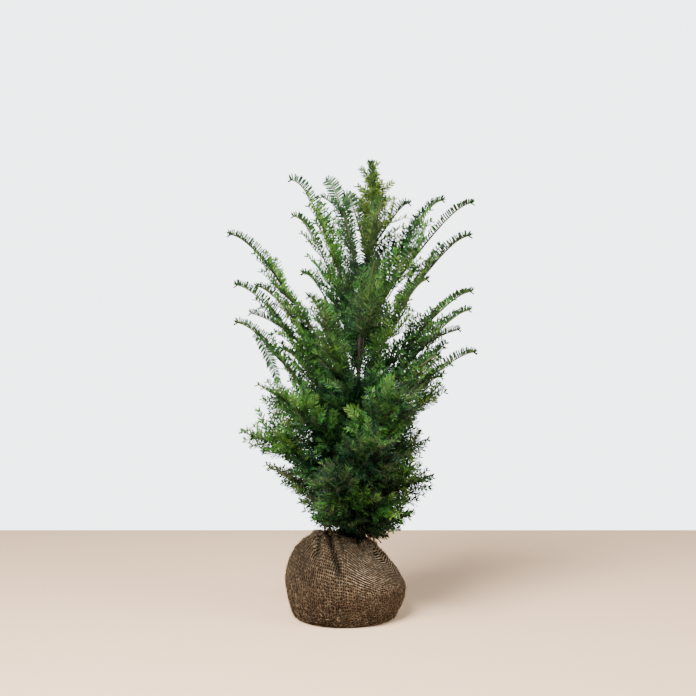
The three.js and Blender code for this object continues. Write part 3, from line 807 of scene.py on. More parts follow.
# the limbs at the foot of the leader and in front of it stay slim, with sky between them, and their shoots
# are painted darker as painted shade
SLIM_LIMBS = {
    "front_upper": 0.36,
    "leader_left": 0.42,
    "leader_front": 0.42,
    "leader_back": 0.55,
    "left_back_upper": 0.60,
    "front_left": 0.74,
    "front_mid": 0.84,
}
for limb in limbs:
    shares = np.linspace(max(limb["bare"], 0.04), 1, STEM_SAMPLES)
    limb["stem"] = along_limb(limb["points"], shares)
    if limb["kind"] == "leader":
        shares = np.linspace(0, 1, STEM_SAMPLES)
        heights = np.linspace(LEADER_SPACE_FOOT, LEADER_SPACE_TOP, STEM_SAMPLES)
        limb["stem"] = np.array([trunk_axis(h) for h in heights])
    widest, narrowest, taper = SPREAD[limb["kind"]]
    widest = min(widest * SLIM_LIMBS.get(limb["name"], 1), 0.42 * limb["chord"] + 0.02)
    limb["spread"] = narrowest + widest * (1 - shares) ** taper
all_stems = np.concatenate([limb["stem"] for limb in limbs])
stem_spread = np.concatenate([limb["spread"] for limb in limbs])
stem_owner = np.repeat(np.arange(len(limbs)), STEM_SAMPLES)
# how far the foliage of one mass may reach in among its neighbour's
SPACE_OVERLAP = 0.042
# the sky between the boughs, as strips seen from the front at eye height: x and height of both ends, half
# width
VIEW_DISTANCE, EYE_HEIGHT = 2.85, 0.698
SKY_STRIPS = [
    (-0.103, 1.013, -0.049, 0.890, 0.009),
    (-0.003, 1.018, 0.025, 0.950, 0.013),
    (0.025, 0.950, 0.040, 0.872, 0.015),
    (0.143, 1.008, 0.076, 0.915, 0.006),
    (0.172, 0.998, 0.147, 0.958, 0.008),
    (0.262, 0.982, 0.207, 0.940, 0.009),
    (0.207, 0.940, 0.190, 0.885, 0.010),
    (0.252, 0.886, 0.210, 0.838, 0.012),
    (0.210, 0.838, 0.165, 0.764, 0.013),
    (0.152, 0.824, 0.112, 0.778, 0.006),
    (0.132, 0.682, 0.098, 0.668, 0.005),
    (-0.199, 0.796, -0.120, 0.688, 0.007),
    (-0.140, 0.822, -0.096, 0.776, 0.015),
    (-0.081, 0.817, -0.052, 0.786, 0.010),
    (-0.095, 0.912, -0.068, 0.875, 0.007),
    (-0.162, 0.616, -0.137, 0.563, 0.009),
    (-0.166, 0.386, -0.135, 0.372, 0.011),
    (0.012, 0.648, 0.010, 0.620, 0.004),
    (-0.010, 0.720, -0.006, 0.692, 0.004),
]
# the lowest that shoots hang: distance from the trunk, height above the soil, for the left and the right
LEFT_SKIRT = [(0.06, 0), (0.10, 0.040), (0.145, 0.082), (0.188, 0.124), (0.241, 0.168), (0.32, 0.225)]
RIGHT_SKIRT = [(0.035, 0), (0.107, 0.054), (0.15, 0.105), (0.32, 0.21)]
SOIL_HEIGHT = 0.19
BALL_REACH = 0.146
# the crown's outline on the right: height, how far from the middle; and how far it reaches to the back
RIGHT_SIDE = [(0.21, 0.140), (0.27, 0.200), (0.38, 0.184), (0.44, 0.160), (0.53, 0.214), (0.60, 0.40)]
BACK_SIDE = 0.232
TRUNK_CLEARANCE = 0.009
PLACES_AT_ONCE = 4000


def along_table(value, rows):
    """What a table of pairs gives between its rows."""
    return np.interp(value, *zip(*rows))


def in_the_sky(x, y, z):
    """Which places lie in front of or behind one of the strips of sky."""
    seen = VIEW_DISTANCE / (VIEW_DISTANCE + y)
    across, up = x * seen, EYE_HEIGHT + (z - EYE_HEIGHT) * seen
    found = np.zeros(len(x), bool)
    for x0, z0, x1, z1, half_width in SKY_STRIPS:
        run, rise = x1 - x0, z1 - z0
        t = np.clip(((across - x0) * run + (up - z0) * rise) / (run * run + rise * rise), 0, 1)
        found |= np.hypot(across - x0 - t * run, up - z0 - t * rise) < half_width
    return found


def kept_share(places, owner, leeway):
    """The share of each twig, a row of places, that stays in its own mass's space and off trunk and ball."""
    count, steps, _ = places.shape
    flat = places.reshape(-1, 3)
    nearest_own, nearest_other = np.full((2, len(flat)), FAR)
    allowed = np.zeros(len(flat))
    owners, leeways = np.repeat(owner, steps), np.repeat(leeway, steps)
    for start in range(0, len(flat), PLACES_AT_ONCE):
        part = slice(start, start + PLACES_AT_ONCE)
        distance = np.linalg.norm(flat[part, None] - all_stems[None], axis=2)
        own = stem_owner[None] == owners[part, None]
        own_distance = np.where(own, distance, FAR)
        nearest_own[part] = own_distance.min(1)
        allowed[part] = stem_spread[own_distance.argmin(1)]
        nearest_other[part] = np.where(own, FAR, distance).min(1)
    x, y, z = flat.T
    trunk_x, trunk_y = trunk_middle(z, np.sin)
    off_trunk = (np.hypot(x - trunk_x, y - trunk_y) > TRUNK_CLEARANCE) | (z > TRUNK_TOP)
    from_trunk = np.hypot(x - TRUNK_X, y)
    left_skirt, right_skirt = along_table(from_trunk, LEFT_SKIRT), along_table(from_trunk, RIGHT_SKIRT)
    skirt = SOIL_HEIGHT + np.where(x < 0, left_skirt, right_skirt)
    # the shoulder of the ball is higher on the left
    shoulder = 0.2 + np.clip(0.026 - 0.45 * (x + 0.01), -0.01, 0.024)
    off_ball = (z > skirt - 0.01) & ((z > shoulder) | (np.hypot(x, y) > BALL_REACH))
    # the right-hand outline is ragged
    right_side = along_table(z, RIGHT_SIDE)
    right_side += 0.016 * np.sin(47 * z + 21 * y) + 0.010 * np.sin(160 * z - 60 * y)
    inside = (nearest_own < nearest_other + SPACE_OVERLAP) & (nearest_own < allowed + leeways)
    inside &= (x < right_side + 0.15 * leeways) & (y < BACK_SIDE)
    inside &= off_trunk & off_ball & ~in_the_sky(x, y, z)
    inside = inside.reshape(count, steps)
    inside[:, 0] = True
    blocked = ~inside
    first_block = np.where(blocked.any(1), blocked.argmax(1), steps)
    return first_block / steps


GROWTH = {
    # kind: first share, last share, buds to a metre, longest shoot, opening in degrees, lift to either side
    "long": (0.02, 0.60, 560, 0.120, 30, 80),
    "short": (0.04, 0.82, 560, 0.120, 34, 180),
    "close": (0.05, 0.97, 1000, 0.105, 48, 180),
    "leader": (0.02, 0.90, 500, 0.045, 38, 180),
}
# how far the shoots turn forward along their limb, and upwards, as they grow
TURN = {"long": (0.9, 0.35), "short": (0.7, 0.5), "close": (0.3, 0.9), "leader": (0.5, 0.75)}
# how far past its mass's space each sort of shoot may reach
LEEWAY = {"side": 0.0, "second tip": 0.03, "upright": 0.035, "fan": 0.048, "old wood": 0.05, "sprig": 0.08}
# how far a shoot bends as it grows, as a share of its length
BENDING = 0.26


def square_to(vectors, axes):
    return unit(vectors - (vectors * axes).sum(-1, keepdims=True) * axes)


def upper_side(direction, otherwise):
    """The directions square to shoots on their upper sides; a shoot that stands upright keeps its stem's."""
    lying = 1 - direction[:, 2:] ** 2
    return unit((UP - direction[:, 2:] * direction) * lying + square_to(otherwise, direction) * 0.3)


def open_out(along, above, turn, lift, opened):
    """The directions of shoots that open away to one side of their stems, lifted out of the stems' plane."""
    turn, lift, opened = turn[:, None], np.radians(lift)[:, None], np.radians(opened)[:, None]
    sideways = turn * np.cos(lift) * np.cross(along, above) + np.sin(lift) * above
    return np.cos(opened) * along + np.sin(opened) * sideways


def new_shoots(sort, owner, root, start, bend, length, above, tone, comb=0.0, spin=0.0):
    """Shoots as columns. Comb is how far their needles stand up, spin whether they stand all round."""
    count = len(root)
    return {
        "sort": np.full(count, sort),
        "leeway": np.full(count, LEEWAY[sort]),
        "owner": np.full(count, owner),
        "order": np.full(count, 1),
        "root": root,
        "start": start,
        "bend": np.broadcast_to(bend, (count, 3)),
        "length": length,
        "above": above,
        "tone": np.broadcast_to(tone, count),
        "comb": np.broadcast_to(comb, count),
        "spin": np.full(count, spin),
    }


def side_shoots(owner, kind, root, along, above, share, dice):
    """The shoots of one stem: they open away from it to either side and curve up."""
    longest, opening, spread = GROWTH[kind][3:]
    forward, upward = TURN[kind]
    count = len(root)
    lift = dice.uniform(-spread + 0.3 * spread * share, spread)
    start = open_out(along, above, dice.choice((-1, 1), count), lift, opening + dice.uniform(-12, 16, count))
    # the lowest shoots of the close crown stay flat; neighbours share a tone, and the slim limbs are painted
    # darker as painted shade
    low = np.clip((root[:, 2:] - 0.21) / 0.07, 0.2, 1) if kind == "close" else 1.0
    patch = np.array([0.5 + 1.3 * noise.noise(Vector(place) * 11) for place in root])
    shade = along_table(SLIM_LIMBS.get(limbs[owner]["name"], 1), [(0.6, 0.35), (0.8, 0.7), (1, 1)])
    return new_shoots(
        "side",
        owner,
        root,
        start,
        forward * along + upward * low * UP,
        longest * (1 - 0.6 * share) * dice.uniform(0.35, 1.15, count),
        upper_side(start, above),
        (0.6 * dice.random(count) + 0.4 * np.clip(patch, 0, 1)) * shade,
        comb=np.clip((share - 0.3) / 0.4, 0, 1) * (kind == "long"),
        spin=float(kind in ("close", "leader")),
    )


def second_tip(owner, limb, share, tip, comb=0.75):
    """A shoot that ends beside a long bough, nods over as it does and bears the same standing needles."""
    root = along_limb(limb["points"], np.array([share]))
    reach = np.array([tip]) - root
    length = np.linalg.norm(reach, axis=1)
    start = unit(reach / length + 0.30 * UP)
    bend = (reach / length - start) / BENDING
    above = square_to(np.array([(0.0, -0.4, 0.9 if comb > 0.5 else 0.1)]), start)
    return new_shoots("second tip", owner, root, start, bend, length, above, 0.25, comb=comb)


# the shoots of a fan, in pairs to either side: how far they open from the limb, in degrees
FAN_OPENING = np.array((10, 14, 26, 30, 42, 46))
FAN_TURN = np.array((-1, 1, -1, 1, -1, 1))


def fan_tips(owner, limb, dice):
    """The shoots that fan out at the end of a limb of the close crown, their needles to either side."""
    count = len(FAN_TURN)
    share = dice.uniform(0.60, 0.90, count)
    along = limb_direction(limb["points"], share)
    above = unit(np.cross(along, limb["side"][None]))
    lift = dice.uniform(-35, 35, count)
    start = open_out(along, above, FAN_TURN, lift, FAN_OPENING + dice.uniform(-5, 5, count))
    length = dice.uniform(0.060, 0.088, count) * (1 - 0.35 * (share - 0.62) / 0.28)
    bend = 0.5 * along + dice.uniform(-0.1, 0.35, (count, 1)) * UP
    root = along_limb(limb["points"], share)
    tone = dice.uniform(0.3, 0.7, count)
    return new_shoots("fan", owner, root, start, bend, length, upper_side(start, above), tone, comb=0.2)


def upright_sprays(owner, limb, dice):
    """This year's shoots in the close crown, which stand up in front of the rest, with needles all round."""
    share = np.array((0.42, 0.58, 0.74)) + dice.uniform(-0.05, 0.05, 3)
    along = limb_direction(limb["points"], share)
    outward = unit(along * (1, 1, 0))
    start = unit(UP + 0.28 * outward + 0.22 * dice.uniform(-1, 1, (3, 1)) * limb["side"])
    length = dice.uniform(0.075, 0.125, 3)
    root = along_limb(limb["points"], share)
    above = square_to(outward, start)
    tone = dice.uniform(0.50, 0.80, 3)
    return new_shoots("upright", owner, root, start, 0.3 * outward, length, above, tone, spin=1.0)


# above this height the shoots of the old wood leave the front bare, where the trunk shows
BARE_FRONT_FROM, BARE_FRONT_BEARINGS = 0.53, (-75, 235)
# how far from the middle of the trunk they come out of its bark
OUT_OF_BARK = 0.011


def trunk_shoots(low, high, count, longest, opening, tone, dice):
    """Small shoots straight from the old wood of the trunk, among the masses of the limbs nearest to them."""
    root = np.array([trunk_axis(h) for h in dice.uniform(low, high, count)])
    bearings = BARE_FRONT_BEARINGS if low > BARE_FRONT_FROM else (0, 360)
    bearing = np.radians(dice.uniform(*bearings, count))
    outward = np.stack([np.cos(bearing), np.sin(bearing), np.zeros(count)], axis=1)
    opened = np.radians(opening + dice.uniform(-14, 14, count))[:, None]
    start = np.cos(opened) * UP + np.sin(opened) * outward
    length = longest * dice.uniform(0.5, 1.0, count)
    middle = root + start * (0.6 * length[:, None])
    nearest = np.linalg.norm(middle[:, None] - all_stems[None], axis=2).argmin(1)
    root, above = root + OUT_OF_BARK * start, upper_side(start, -outward)
    shoots = new_shoots("old wood", 0, root, start, 0.25 * outward, length, above, tone, spin=1.0)
    shoots["owner"] = stem_owner[nearest]
    return shoots


def gathered(batches):
    return {key: np.concatenate([batch[key] for batch in batches]) for key in batches[0]}


def picked(batch, chosen):
    return {key: value[chosen] for key, value in batch.items()}


# sprigs at the top of the leader: height, bearing, length, opening in degrees
LEADER_SPRIGS = [
    (1.062, 180, 0.046, 33),
    (1.030, 0, 0.055, 49),
    (1.018, 186, 0.050, 40),
    (0.978, 174, 0.078, 38),
    (1.050, 90, 0.032, 40),
    (1.018, 268, 0.036, 40),
    (1.040, 305, 0.030, 42),
    (0.995, 60, 0.046, 40),
    (0.930, 350, 0.095, 44),
    (0.985, 20, 0.060, 42),
    (0.960, 250, 0.060, 36),
    (1.074, 70, 0.020, 38),
    (1.068, 310, 0.022, 40),
    (1.056, 225, 0.026, 38),
    (1.046, 150, 0.030, 36),
    (1.036, 330, 0.034, 40),
    (1.024, 215, 0.034, 38),
    (1.014, 30, 0.040, 42),
    (1.004, 300, 0.042, 40),
    (0.996, 150, 0.044, 38),
    (0.990, 340, 0.046, 40),
]
# shares of the front limbs without shoots, where the trunk shows between them
BARE_FEET = {"front_left": 0.20, "front_mid": 0.27, "front_right": 0.08}
# boughs that end in more than one shoot: where the others leave, as a share of the bough, and where they end;
# the one that droops on the left spreads its needles flat
SECOND_TIPS = [
    ("right_wide_back", 0.50, (0.283, 0.040, 0.706)),
    ("right_low", 0.42, (0.266, 0.015, 0.694)),
    ("right_low", 0.36, (0.246, -0.015, 0.674)),
    ("right_low", 0.48, (0.234, -0.030, 0.590)),
    ("left_wide", 0.46, (-0.242, -0.050, 0.754)),
    ("left_outer", 0.80, (-0.164, -0.020, 0.580), 0.1),
    ("left_back_upper", 0.52, (-0.058, 0.090, 1.042)),
]
seconds, uprights, batches = [], [], []
for owner, limb in enumerate(limbs):
    dice = np.random.default_rng(SEED + 31 * owner)
    first, last, buds = GROWTH[limb["kind"]][:3]
    first = BARE_FEET.get(limb["name"], limb["bare"] + first)
    share = dice.uniform(first, last, round((last - first) * limb["chord"] * buds))
    along = limb_direction(limb["points"], share)
    above = unit(np.cross(along, limb["side"][None]))
    root = along_limb(limb["points"], share)
    batches.append(side_shoots(owner, limb["kind"], root, along, above, share, dice))
    seconds += [second_tip(owner, limb, *where) for name, *where in SECOND_TIPS if name == limb["name"]]
    if limb["kind"] == "close":
        uprights += [upright_sprays(owner, limb, dice), fan_tips(owner, limb, dice)]
# the upper trunk is clothed with short shoots of its own, up to the foot of the leader
CLOTHED_FROM, CLOTHING_SHOOTS = 0.70, 260
dice = np.random.default_rng(SEED + 3)
height = dice.uniform(CLOTHED_FROM, TRUNK_TOP, CLOTHING_SHOOTS)
root = np.array([trunk_axis(h) for h in height])
upright, to_the_front = np.tile(UP, (CLOTHING_SHOOTS, 1)), np.tile((0.0, -1.0, 0.0), (CLOTHING_SHOOTS, 1))
share = 0.1 + 0.2 * (height - CLOTHED_FROM) / (TRUNK_TOP - CLOTHED_FROM)
batches.append(side_shoots(leader_number, "leader", root, upright, to_the_front, share, dice))
sprig_height, bearing, sprig_length, opening = np.array(LEADER_SPRIGS).T
bearing, opening = np.radians(bearing), np.radians(opening)[:, None]
outward = np.stack([np.cos(bearing), np.sin(bearing), np.zeros(len(bearing))], axis=1)
root = np.array([trunk_axis(h) for h in sprig_height])
root[:, 0] = np.where(sprig_height > TRUNK_TOP, leader_foot[0] + 0.002, root[:, 0])
start = np.cos(opening) * UP + np.sin(opening) * outward
above = square_to(-outward, start)
sprigs = new_shoots("sprig", leader_number, root, start, 0.3 * outward, sprig_length, above, 0.5, spin=1.0)


def shoot_places(batch, u):
    """Places on each shoot of a batch: rows of shoots, columns of shares u."""
    u = np.asarray(u, float)
    if u.ndim == 1:
        u = np.broadcast_to(u, (len(batch["length"]), len(u)))
    length = batch["length"][:, None, None]
    straight = batch["start"][:, None] * (length * u[..., None])
    return batch["root"][:, None] + straight + batch["bend"][:, None] * (BENDING * length * u[..., None] ** 2)


def shoot_direction(batch, u):
    return unit(batch["start"] + batch["bend"] * (2 * BENDING * u[:, None]))


def cut_to_space(batch, steps, shortest):
    """The shoots cut back to their own space, without those that would be left too short."""
    kept = kept_share(shoot_places(batch, np.linspace(0.1, 1, steps)), batch["owner"], batch["leeway"])
    batch["length"] = batch["length"] * kept
    return picked(batch, batch["length"] > shortest)


def thin_out(batch, taken, clearance):
    """The shoots, longest first, whose outer half finds light: no place taken is within the clearance."""
    # the places taken are kept by cubes as wide as the clearance, so only the cubes round a place are
    # searched
    cubes = {}

    def cube_of(place):
        return tuple(int(value // clearance) for value in place)

    def take(places):
        for place in places:
            cubes.setdefault(cube_of(place), []).append(tuple(place))

    def crowded(place):
        x, y, z = place
        cx, cy, cz = cube_of(place)
        for cube in ((cx + a, cy + b, cz + c) for a in (-1, 0, 1) for b in (-1, 0, 1) for c in (-1, 0, 1)):
            for px, py, pz in cubes.get(cube, ()):
                if (px - x) ** 2 + (py - y) ** 2 + (pz - z) ** 2 < clearance**2:
                    return True
        return False

    take(taken)
    outer_half = shoot_places(batch, [0.45, 0.72, 1.0])
    keep = []
    for i in np.argsort(-batch["length"], kind="stable"):
        if not any(crowded(place) for place in outer_half[i]):
            keep.append(i)
            take(outer_half[i])
    keep = np.array(sorted(keep))
    return picked(batch, keep), np.concatenate([taken, outer_half[keep].reshape(-1, 3)])


# the outer stretch of every open limb stands clear of side shoots, and so do the shoots that lead
free_tips = [along_limb(limb["points"], np.linspace(0.7, 1, 14)) for limb in limbs if limb["kind"] != "close"]
# the shoots from the old wood of the trunk: lowest, highest, how many, longest, opening in degrees, tone
OLD_WOOD_SHOOTS = [
    (0.212, 0.250, 70, 0.115, 74, 0.30),
    (0.203, 0.222, 46, 0.085, 88, 0.30),
    (0.290, 0.535, 60, 0.140, 52, 0.30),
    (0.540, 0.690, 22, 0.110, 46, 0.35),
    (0.400, 0.500, 30, 0.165, 38, 0.42),
]
# how near to each other shoots may end in the leader, the close crown and the rest, and twigs anywhere
LEADER_CLEARANCE, CLOSE_CLEARANCE, OPEN_CLEARANCE, TWIG_CLEARANCE = 0.0065, 0.0116, 0.0125, 0.0088
# the shortest that stay when they are cut back, and the shortest twig that sets out at all
SHORTEST_LEADING, SHORTEST_SHOOT, SHORTEST_TWIG, TWIG_START = 0.018, 0.020, 0.011, 0.013
dice = np.random.default_rng(SEED + 7)
from_old_wood = [trunk_shoots(*row, dice) for row in OLD_WOOD_SHOOTS]
leading = cut_to_space(gathered(seconds + uprights + from_old_wood + [sprigs]), 8, SHORTEST_LEADING)
free_tips.append(shoot_places(leading, np.linspace(0.45, 1, 5)).reshape(-1, 3))
shoot = cut_to_space(gathered(batches), 8, SHORTEST_SHOOT)
close_limbs = [number for number, limb in enumerate(limbs) if limb["kind"] == "close"]
in_close_crown = np.isin(shoot["owner"], close_limbs)
on_leader = shoot["owner"] == leader_number
taken, kept = np.concatenate(free_tips), [leading]
competing = [
    (on_leader, LEADER_CLEARANCE),
    (in_close_crown, CLOSE_CLEARANCE),
    (~in_close_crown & ~on_leader, OPEN_CLEARANCE),
]
for chosen, clearance in competing:
    lit, taken = thin_out(picked(shoot, chosen), taken, clearance)
    kept.append(lit)
shoot = gathered(kept)

# twigs on the side shoots, shorter towards the shoot's tip; in the close crown they leave all round
TWIG_BUD_PITCH = 0.0055
dice = np.random.default_rng(SEED + 5)
parent = np.repeat(np.arange(len(shoot["length"])), (shoot["length"] / TWIG_BUD_PITCH).astype(int))
twig = picked(shoot, parent)
count = len(parent)
share = dice.uniform(0.12, 0.72, count)
along = shoot_direction(twig, share)
above = square_to(twig["above"], along)
twig["root"] = shoot_places(twig, share[:, None])[:, 0]
lift = dice.uniform(-40, 45, count) * (1 + 3 * twig["spin"])
twig["start"] = open_out(along, above, dice.choice((-1, 1), count), lift, dice.uniform(30, 50, count))
twig["bend"] = along
twig["length"] = (0.50 * (1 - share) + 0.14) * twig["length"] * dice.uniform(0.6, 1.2, count)
twig["above"] = above
twig["order"] = np.full(count, 2)
twig["tone"] = np.clip(twig["tone"] + dice.uniform(-0.25, 0.25, count), 0, 1)
twig = picked(twig, (twig["length"] > TWIG_START) & np.isin(twig["sort"], ("side", "old wood")))
twig = cut_to_space(twig, 5, SHORTEST_TWIG)
twig, taken = thin_out(twig, taken, TWIG_CLEARANCE)
growth = gathered([shoot, twig])


# Twig wood: the stems of the masses and every side shoot and twig, brown where they are old and green where
# they are this year's, each a slim tapering rod with a small bud at its tip.
def plain_finish(name, colour, roughness, specular=0.4):
    material = bpy.data.materials.new(name)
    material.use_nodes = True
    principled = material.node_tree.nodes["Principled BSDF"]
    principled.inputs["Base Color"].default_value = (*colour, 1)
    principled.inputs["Roughness"].default_value = roughness
    principled.inputs["Specular IOR Level"].default_value = specular
    return material


OLD, GREEN, YOUNG = 0, 1, 2
twig_finishes = [
    plain_finish("old_twig_wood", (0.034, 0.030, 0.017), 0.8),
    plain_finish("green_twig", (0.036, 0.062, 0.020), 0.6),
    plain_finish("young_stem", (0.082, 0.088, 0.030), 0.65),
]
STEM_RADIUS, STEM_TIP_RADIUS = 0.0029, 0.0014
STEM_STEPS, LEADER_STEPS, STEM_SIDES, TWIG_SIDES = 26, 14, 7, 3
# the gap between a bough's end and its stem, and where the stems without a bough start as a share of the limb
STEM_GAP, STEM_START = 0.0012, 0.012
# order, places along it and radius of the side shoots and of their twigs
SIDE_RODS = [(1, 5, 0.0014), (2, 3, 0.0010)]
# shoots darker than this have brown wood
BROWN_BELOW = 0.12
wood = []


def keep_rods(points, faces, kinds):
    """Add rods to the twig wood; the kinds are the finish of each face."""
    wood.append((points, faces + sum(len(kept) for kept, _, _ in wood), kinds))


for limb in limbs:
    start = limb["bare"] + STEM_GAP / limb["chord"] if limb["bare"] else STEM_START
    shares = np.linspace(start, 1, STEM_STEPS)
    if limb["kind"] == "leader":
        shares = np.linspace(0, 1, LEADER_STEPS)
    outward = (shares - shares[0]) / (1 - shares[0])
    radii = STEM_RADIUS + (STEM_TIP_RADIUS - STEM_RADIUS) * outward**0.9
    above = unit(np.cross(limb_direction(limb["points"], 0.6), limb["side"]))
    points, faces = rods(along_limb(limb["points"], shares)[None], radii[None], STEM_SIDES, above)
    # the outer half of a stem is young and olive
    keep_rods(points, faces, np.where(np.arange(len(faces)) < 0.5 * len(faces), OLD, YOUNG))
for order, steps, thickness in SIDE_RODS:
    batch = picked(growth, growth["order"] == order)
    u = np.linspace(0, 1, steps)
    radii = thickness * (1 - 0.4 * u) * (1 + 0.35 * batch["comb"])[:, None]
    points, faces = rods(shoot_places(batch, u), radii, TWIG_SIDES, batch["above"])
    green_wood = (order == 2) | (batch["tone"] > BROWN_BELOW)
    keep_rods(points, faces, np.repeat(np.where(green_wood, GREEN, OLD), len(faces) // len(green_wood)))
points, faces, kinds = [np.concatenate(column) for column in zip(*wood)]
twigs = joined_mesh("twig_wood", points, faces, kinds, twig_finishes, smooth=True)
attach(twigs, "root")


# Needles: flat, pointed leaves in pairs along every twig, shorter at its foot and tip, both ranks rising in a
# V. On the nodding tips they stand up square to the stem like a comb; in the close crown they hang from the
# tips. They go from blue-green inside and low down to fresh yellow-green outside, the darker inside and low
# down partly as painted shade; the combs and the very edge are painted darker as painted shade.
NEEDLE_LENGTH = 0.0212
NEEDLE_WIDTH = 0.0029
# how far apart the pairs stand
NEEDLE_PITCH = 0.0053
CLOSE_NEEDLE_PITCH = 0.0040
UPRIGHT_NEEDLE_PITCH = 0.0026
SECOND_TIP_PITCH = 0.0040
LEADER_SHOOT_PITCH = 0.0017
LEADER_STEM_PITCH = 0.0014
STEM_NEEDLE_PITCH = 0.0069
FLAT_COMB_PITCH = 0.0046
# how far round its stem each pair stands from the last, in degrees, where needles stand all round
NEEDLE_TURN = 137.5
# the greens of the sprays from dark to fresh, seven and then the three of the leader
GREENS = [
    ("deep_blue_green", (0.006, 0.030, 0.015)),
    ("deep_green", (0.011, 0.046, 0.014)),
    ("dark_green", (0.021, 0.084, 0.020)),
    ("mid_green", (0.040, 0.152, 0.027)),
    ("leaf_green", (0.070, 0.222, 0.034)),
    ("fresh_green", (0.110, 0.290, 0.044)),
    ("yellow_green", (0.158, 0.335, 0.040)),
    ("dark_olive", (0.038, 0.078, 0.018)),
    ("olive", (0.086, 0.158, 0.027)),
    ("fresh_olive", (0.160, 0.250, 0.040)),
]
FIRST_OLIVE, FIRST_COMB_GREEN = 7, 10
# the two greens of the combs are dark, as painted shade, and rough so that they glint little
COMB_GREENS = [("comb_dark", (0.011, 0.041, 0.011)), ("comb_green", (0.028, 0.090, 0.019))]
needle_finishes = [plain_finish("needle_" + name, colour, 0.29, 0.62) for name, colour in GREENS]
needle_finishes += [plain_finish("needle_" + name, colour, 0.55, 0.3) for name, colour in COMB_GREENS]


def spun_round(above, along, degrees):
    """The upper sides turned round their own stems."""
    turn = np.radians(degrees)[:, None]
    return np.cos(turn) * above + np.sin(turn) * np.cross(along, above)


def shoot_stations():
    """Where pairs of needles stand on the shoots and twigs."""
    pitch = np.where(growth["spin"] > 0, CLOSE_NEEDLE_PITCH, NEEDLE_PITCH)
    pitch = np.where(growth["sort"] == "upright", UPRIGHT_NEEDLE_PITCH, pitch)
    pitch = np.where(growth["sort"] == "second tip", SECOND_TIP_PITCH, pitch)
    pitch = np.where(growth["owner"] == leader_number, LEADER_SHOOT_PITCH, pitch)
    counts = np.maximum(3, (growth["length"] / pitch).astype(int))
    index = np.repeat(np.arange(len(counts)), counts)
    order = np.concatenate([np.arange(c) for c in counts])
    u = (order + 0.6) / counts[index]
    batch = picked(growth, index)
    comb, spin = batch["comb"], batch["spin"]
    upright, on_leader = batch["sort"] == "upright", batch["owner"] == leader_number
    foot, along = shoot_places(batch, u[:, None])[:, 0], shoot_direction(batch, u)
    # all round on the leader and the upright sprays; elsewhere in the close crown each shoot has its own
    # plane
    turned = np.where(on_leader | upright, NEEDLE_TURN * order, 360 * ((index * 0.618) % 1)) * spin
    above = spun_round(square_to(batch["above"], along), along, turned)
    rise = 22 + 34 * comb + 8 * u - 14 * spin
    forward = 60 + 18 * comb - 14 * u**3 - 6 * spin - 8 * upright
    size = 0.72 + 0.28 * np.sin(np.pi * np.clip(u, 0, 1) ** 0.9)
    size = size * np.clip(0.5 + batch["length"] / 0.1, 0.6, 0.95)
    size = size * (1 - 0.14 * spin) * (1 - 0.06 * on_leader)
    tooth = np.where(batch["sort"] == "second tip", 0.9, 0.5 * comb)
    return foot, along, above, batch["owner"], batch["tone"], rise, forward, size, tooth


def tip_stations():
    """The tuft of short needles round the bud at the tip of every side shoot."""
    batch = picked(growth, np.repeat(np.flatnonzero(growth["order"] == 1), 3))
    count = len(batch["length"])
    u = np.full(count, 0.985)
    foot, along = shoot_places(batch, u[:, None])[:, 0], shoot_direction(batch, u)
    above = spun_round(square_to(batch["above"], along), along, 60.0 * (np.arange(count) % 3))
    rise, forward, size = np.full(count, 8.0), np.full(count, 44.0), np.full(count, 0.54)
    return foot, along, above, batch["owner"], batch["tone"], rise, forward, size, batch["comb"]


# how far round its stem the comb of needles faces, in degrees; on the others it is nearly upright
COMB_TWIST = {"left_upper": 34, "left_mid": 12, "right_upper": 8}
# combs with both ranks spread flat, their upper side to the front
FLAT_COMBS = ("left_back_upper", "leader_left")
# where the needles on a limb's own stem start, as a share of it, at the least
NEEDLES_FROM = {"long": 0.28, "short": 0.28, "close": 0.45, "leader": 0.05}


def stem_stations(owner, limb):
    """Where pairs of needles stand on a limb's own stem, out to its tip."""
    flat_comb = limb["name"] in FLAT_COMBS
    start = max(limb["bare"] + 0.04, NEEDLES_FROM[limb["kind"]])
    pitch = FLAT_COMB_PITCH if flat_comb else STEM_NEEDLE_PITCH
    pitch = LEADER_STEM_PITCH if limb["kind"] == "leader" else pitch
    count = int((1 - start) * limb["chord"] * 1.08 / pitch)
    t = start + (1 - start) * (np.arange(count) + 0.6) / count
    full = np.ones(count)
    along = limb_direction(limb["points"], t)
    above = unit(np.cross(along, limb["side"][None]))
    tipward = np.clip((t - 0.42) / 0.25, 0, 1)
    forward = 66 + 16 * tipward - 30 * np.clip((t - 0.94) / 0.06, 0, 1)
    size = 1.10 - 0.34 * np.clip((t - 0.7) / 0.3, 0, 1) ** 2
    if limb["kind"] == "close":
        rise = 10 - 30 * tipward
    elif limb["kind"] == "leader":
        rise, forward, size = 10 * full, 56 - 14 * t, 0.94 - 0.20 * t
        above = spun_round(above, along, NEEDLE_TURN * np.arange(count))
    elif flat_comb:
        rise = 14 * full
        above = square_to(np.tile((0.0, -1.0, 0.2), (count, 1)), along)
    else:
        rise = 24 + 24 * tipward
        above = spun_round(above, along, COMB_TWIST.get(limb["name"], 50 * ((owner * 0.618) % 1) - 25) * full)
    tone = 0.16 + 0.24 * ((owner * 0.377) % 1) * full
    place, owners = along_limb(limb["points"], t), np.full(count, owner)
    return place, along, above, owners, tone, rise, forward, size, tipward


def stem_tip(owner, limb):
    """The tuft round the bud at the tip of a limb."""
    t = np.full(4, 0.995)
    along = limb_direction(limb["points"], t)
    above = spun_round(unit(np.cross(along, limb["side"][None])), along, 45.0 * np.arange(4))
    place, tone = along_limb(limb["points"], t), np.full(4, 0.2)
    rise, forward, size = np.full(4, 8.0), np.full(4, 42.0), np.full(4, 0.55)
    return place, along, above, np.full(4, owner), tone, rise, forward, size, np.ones(4)


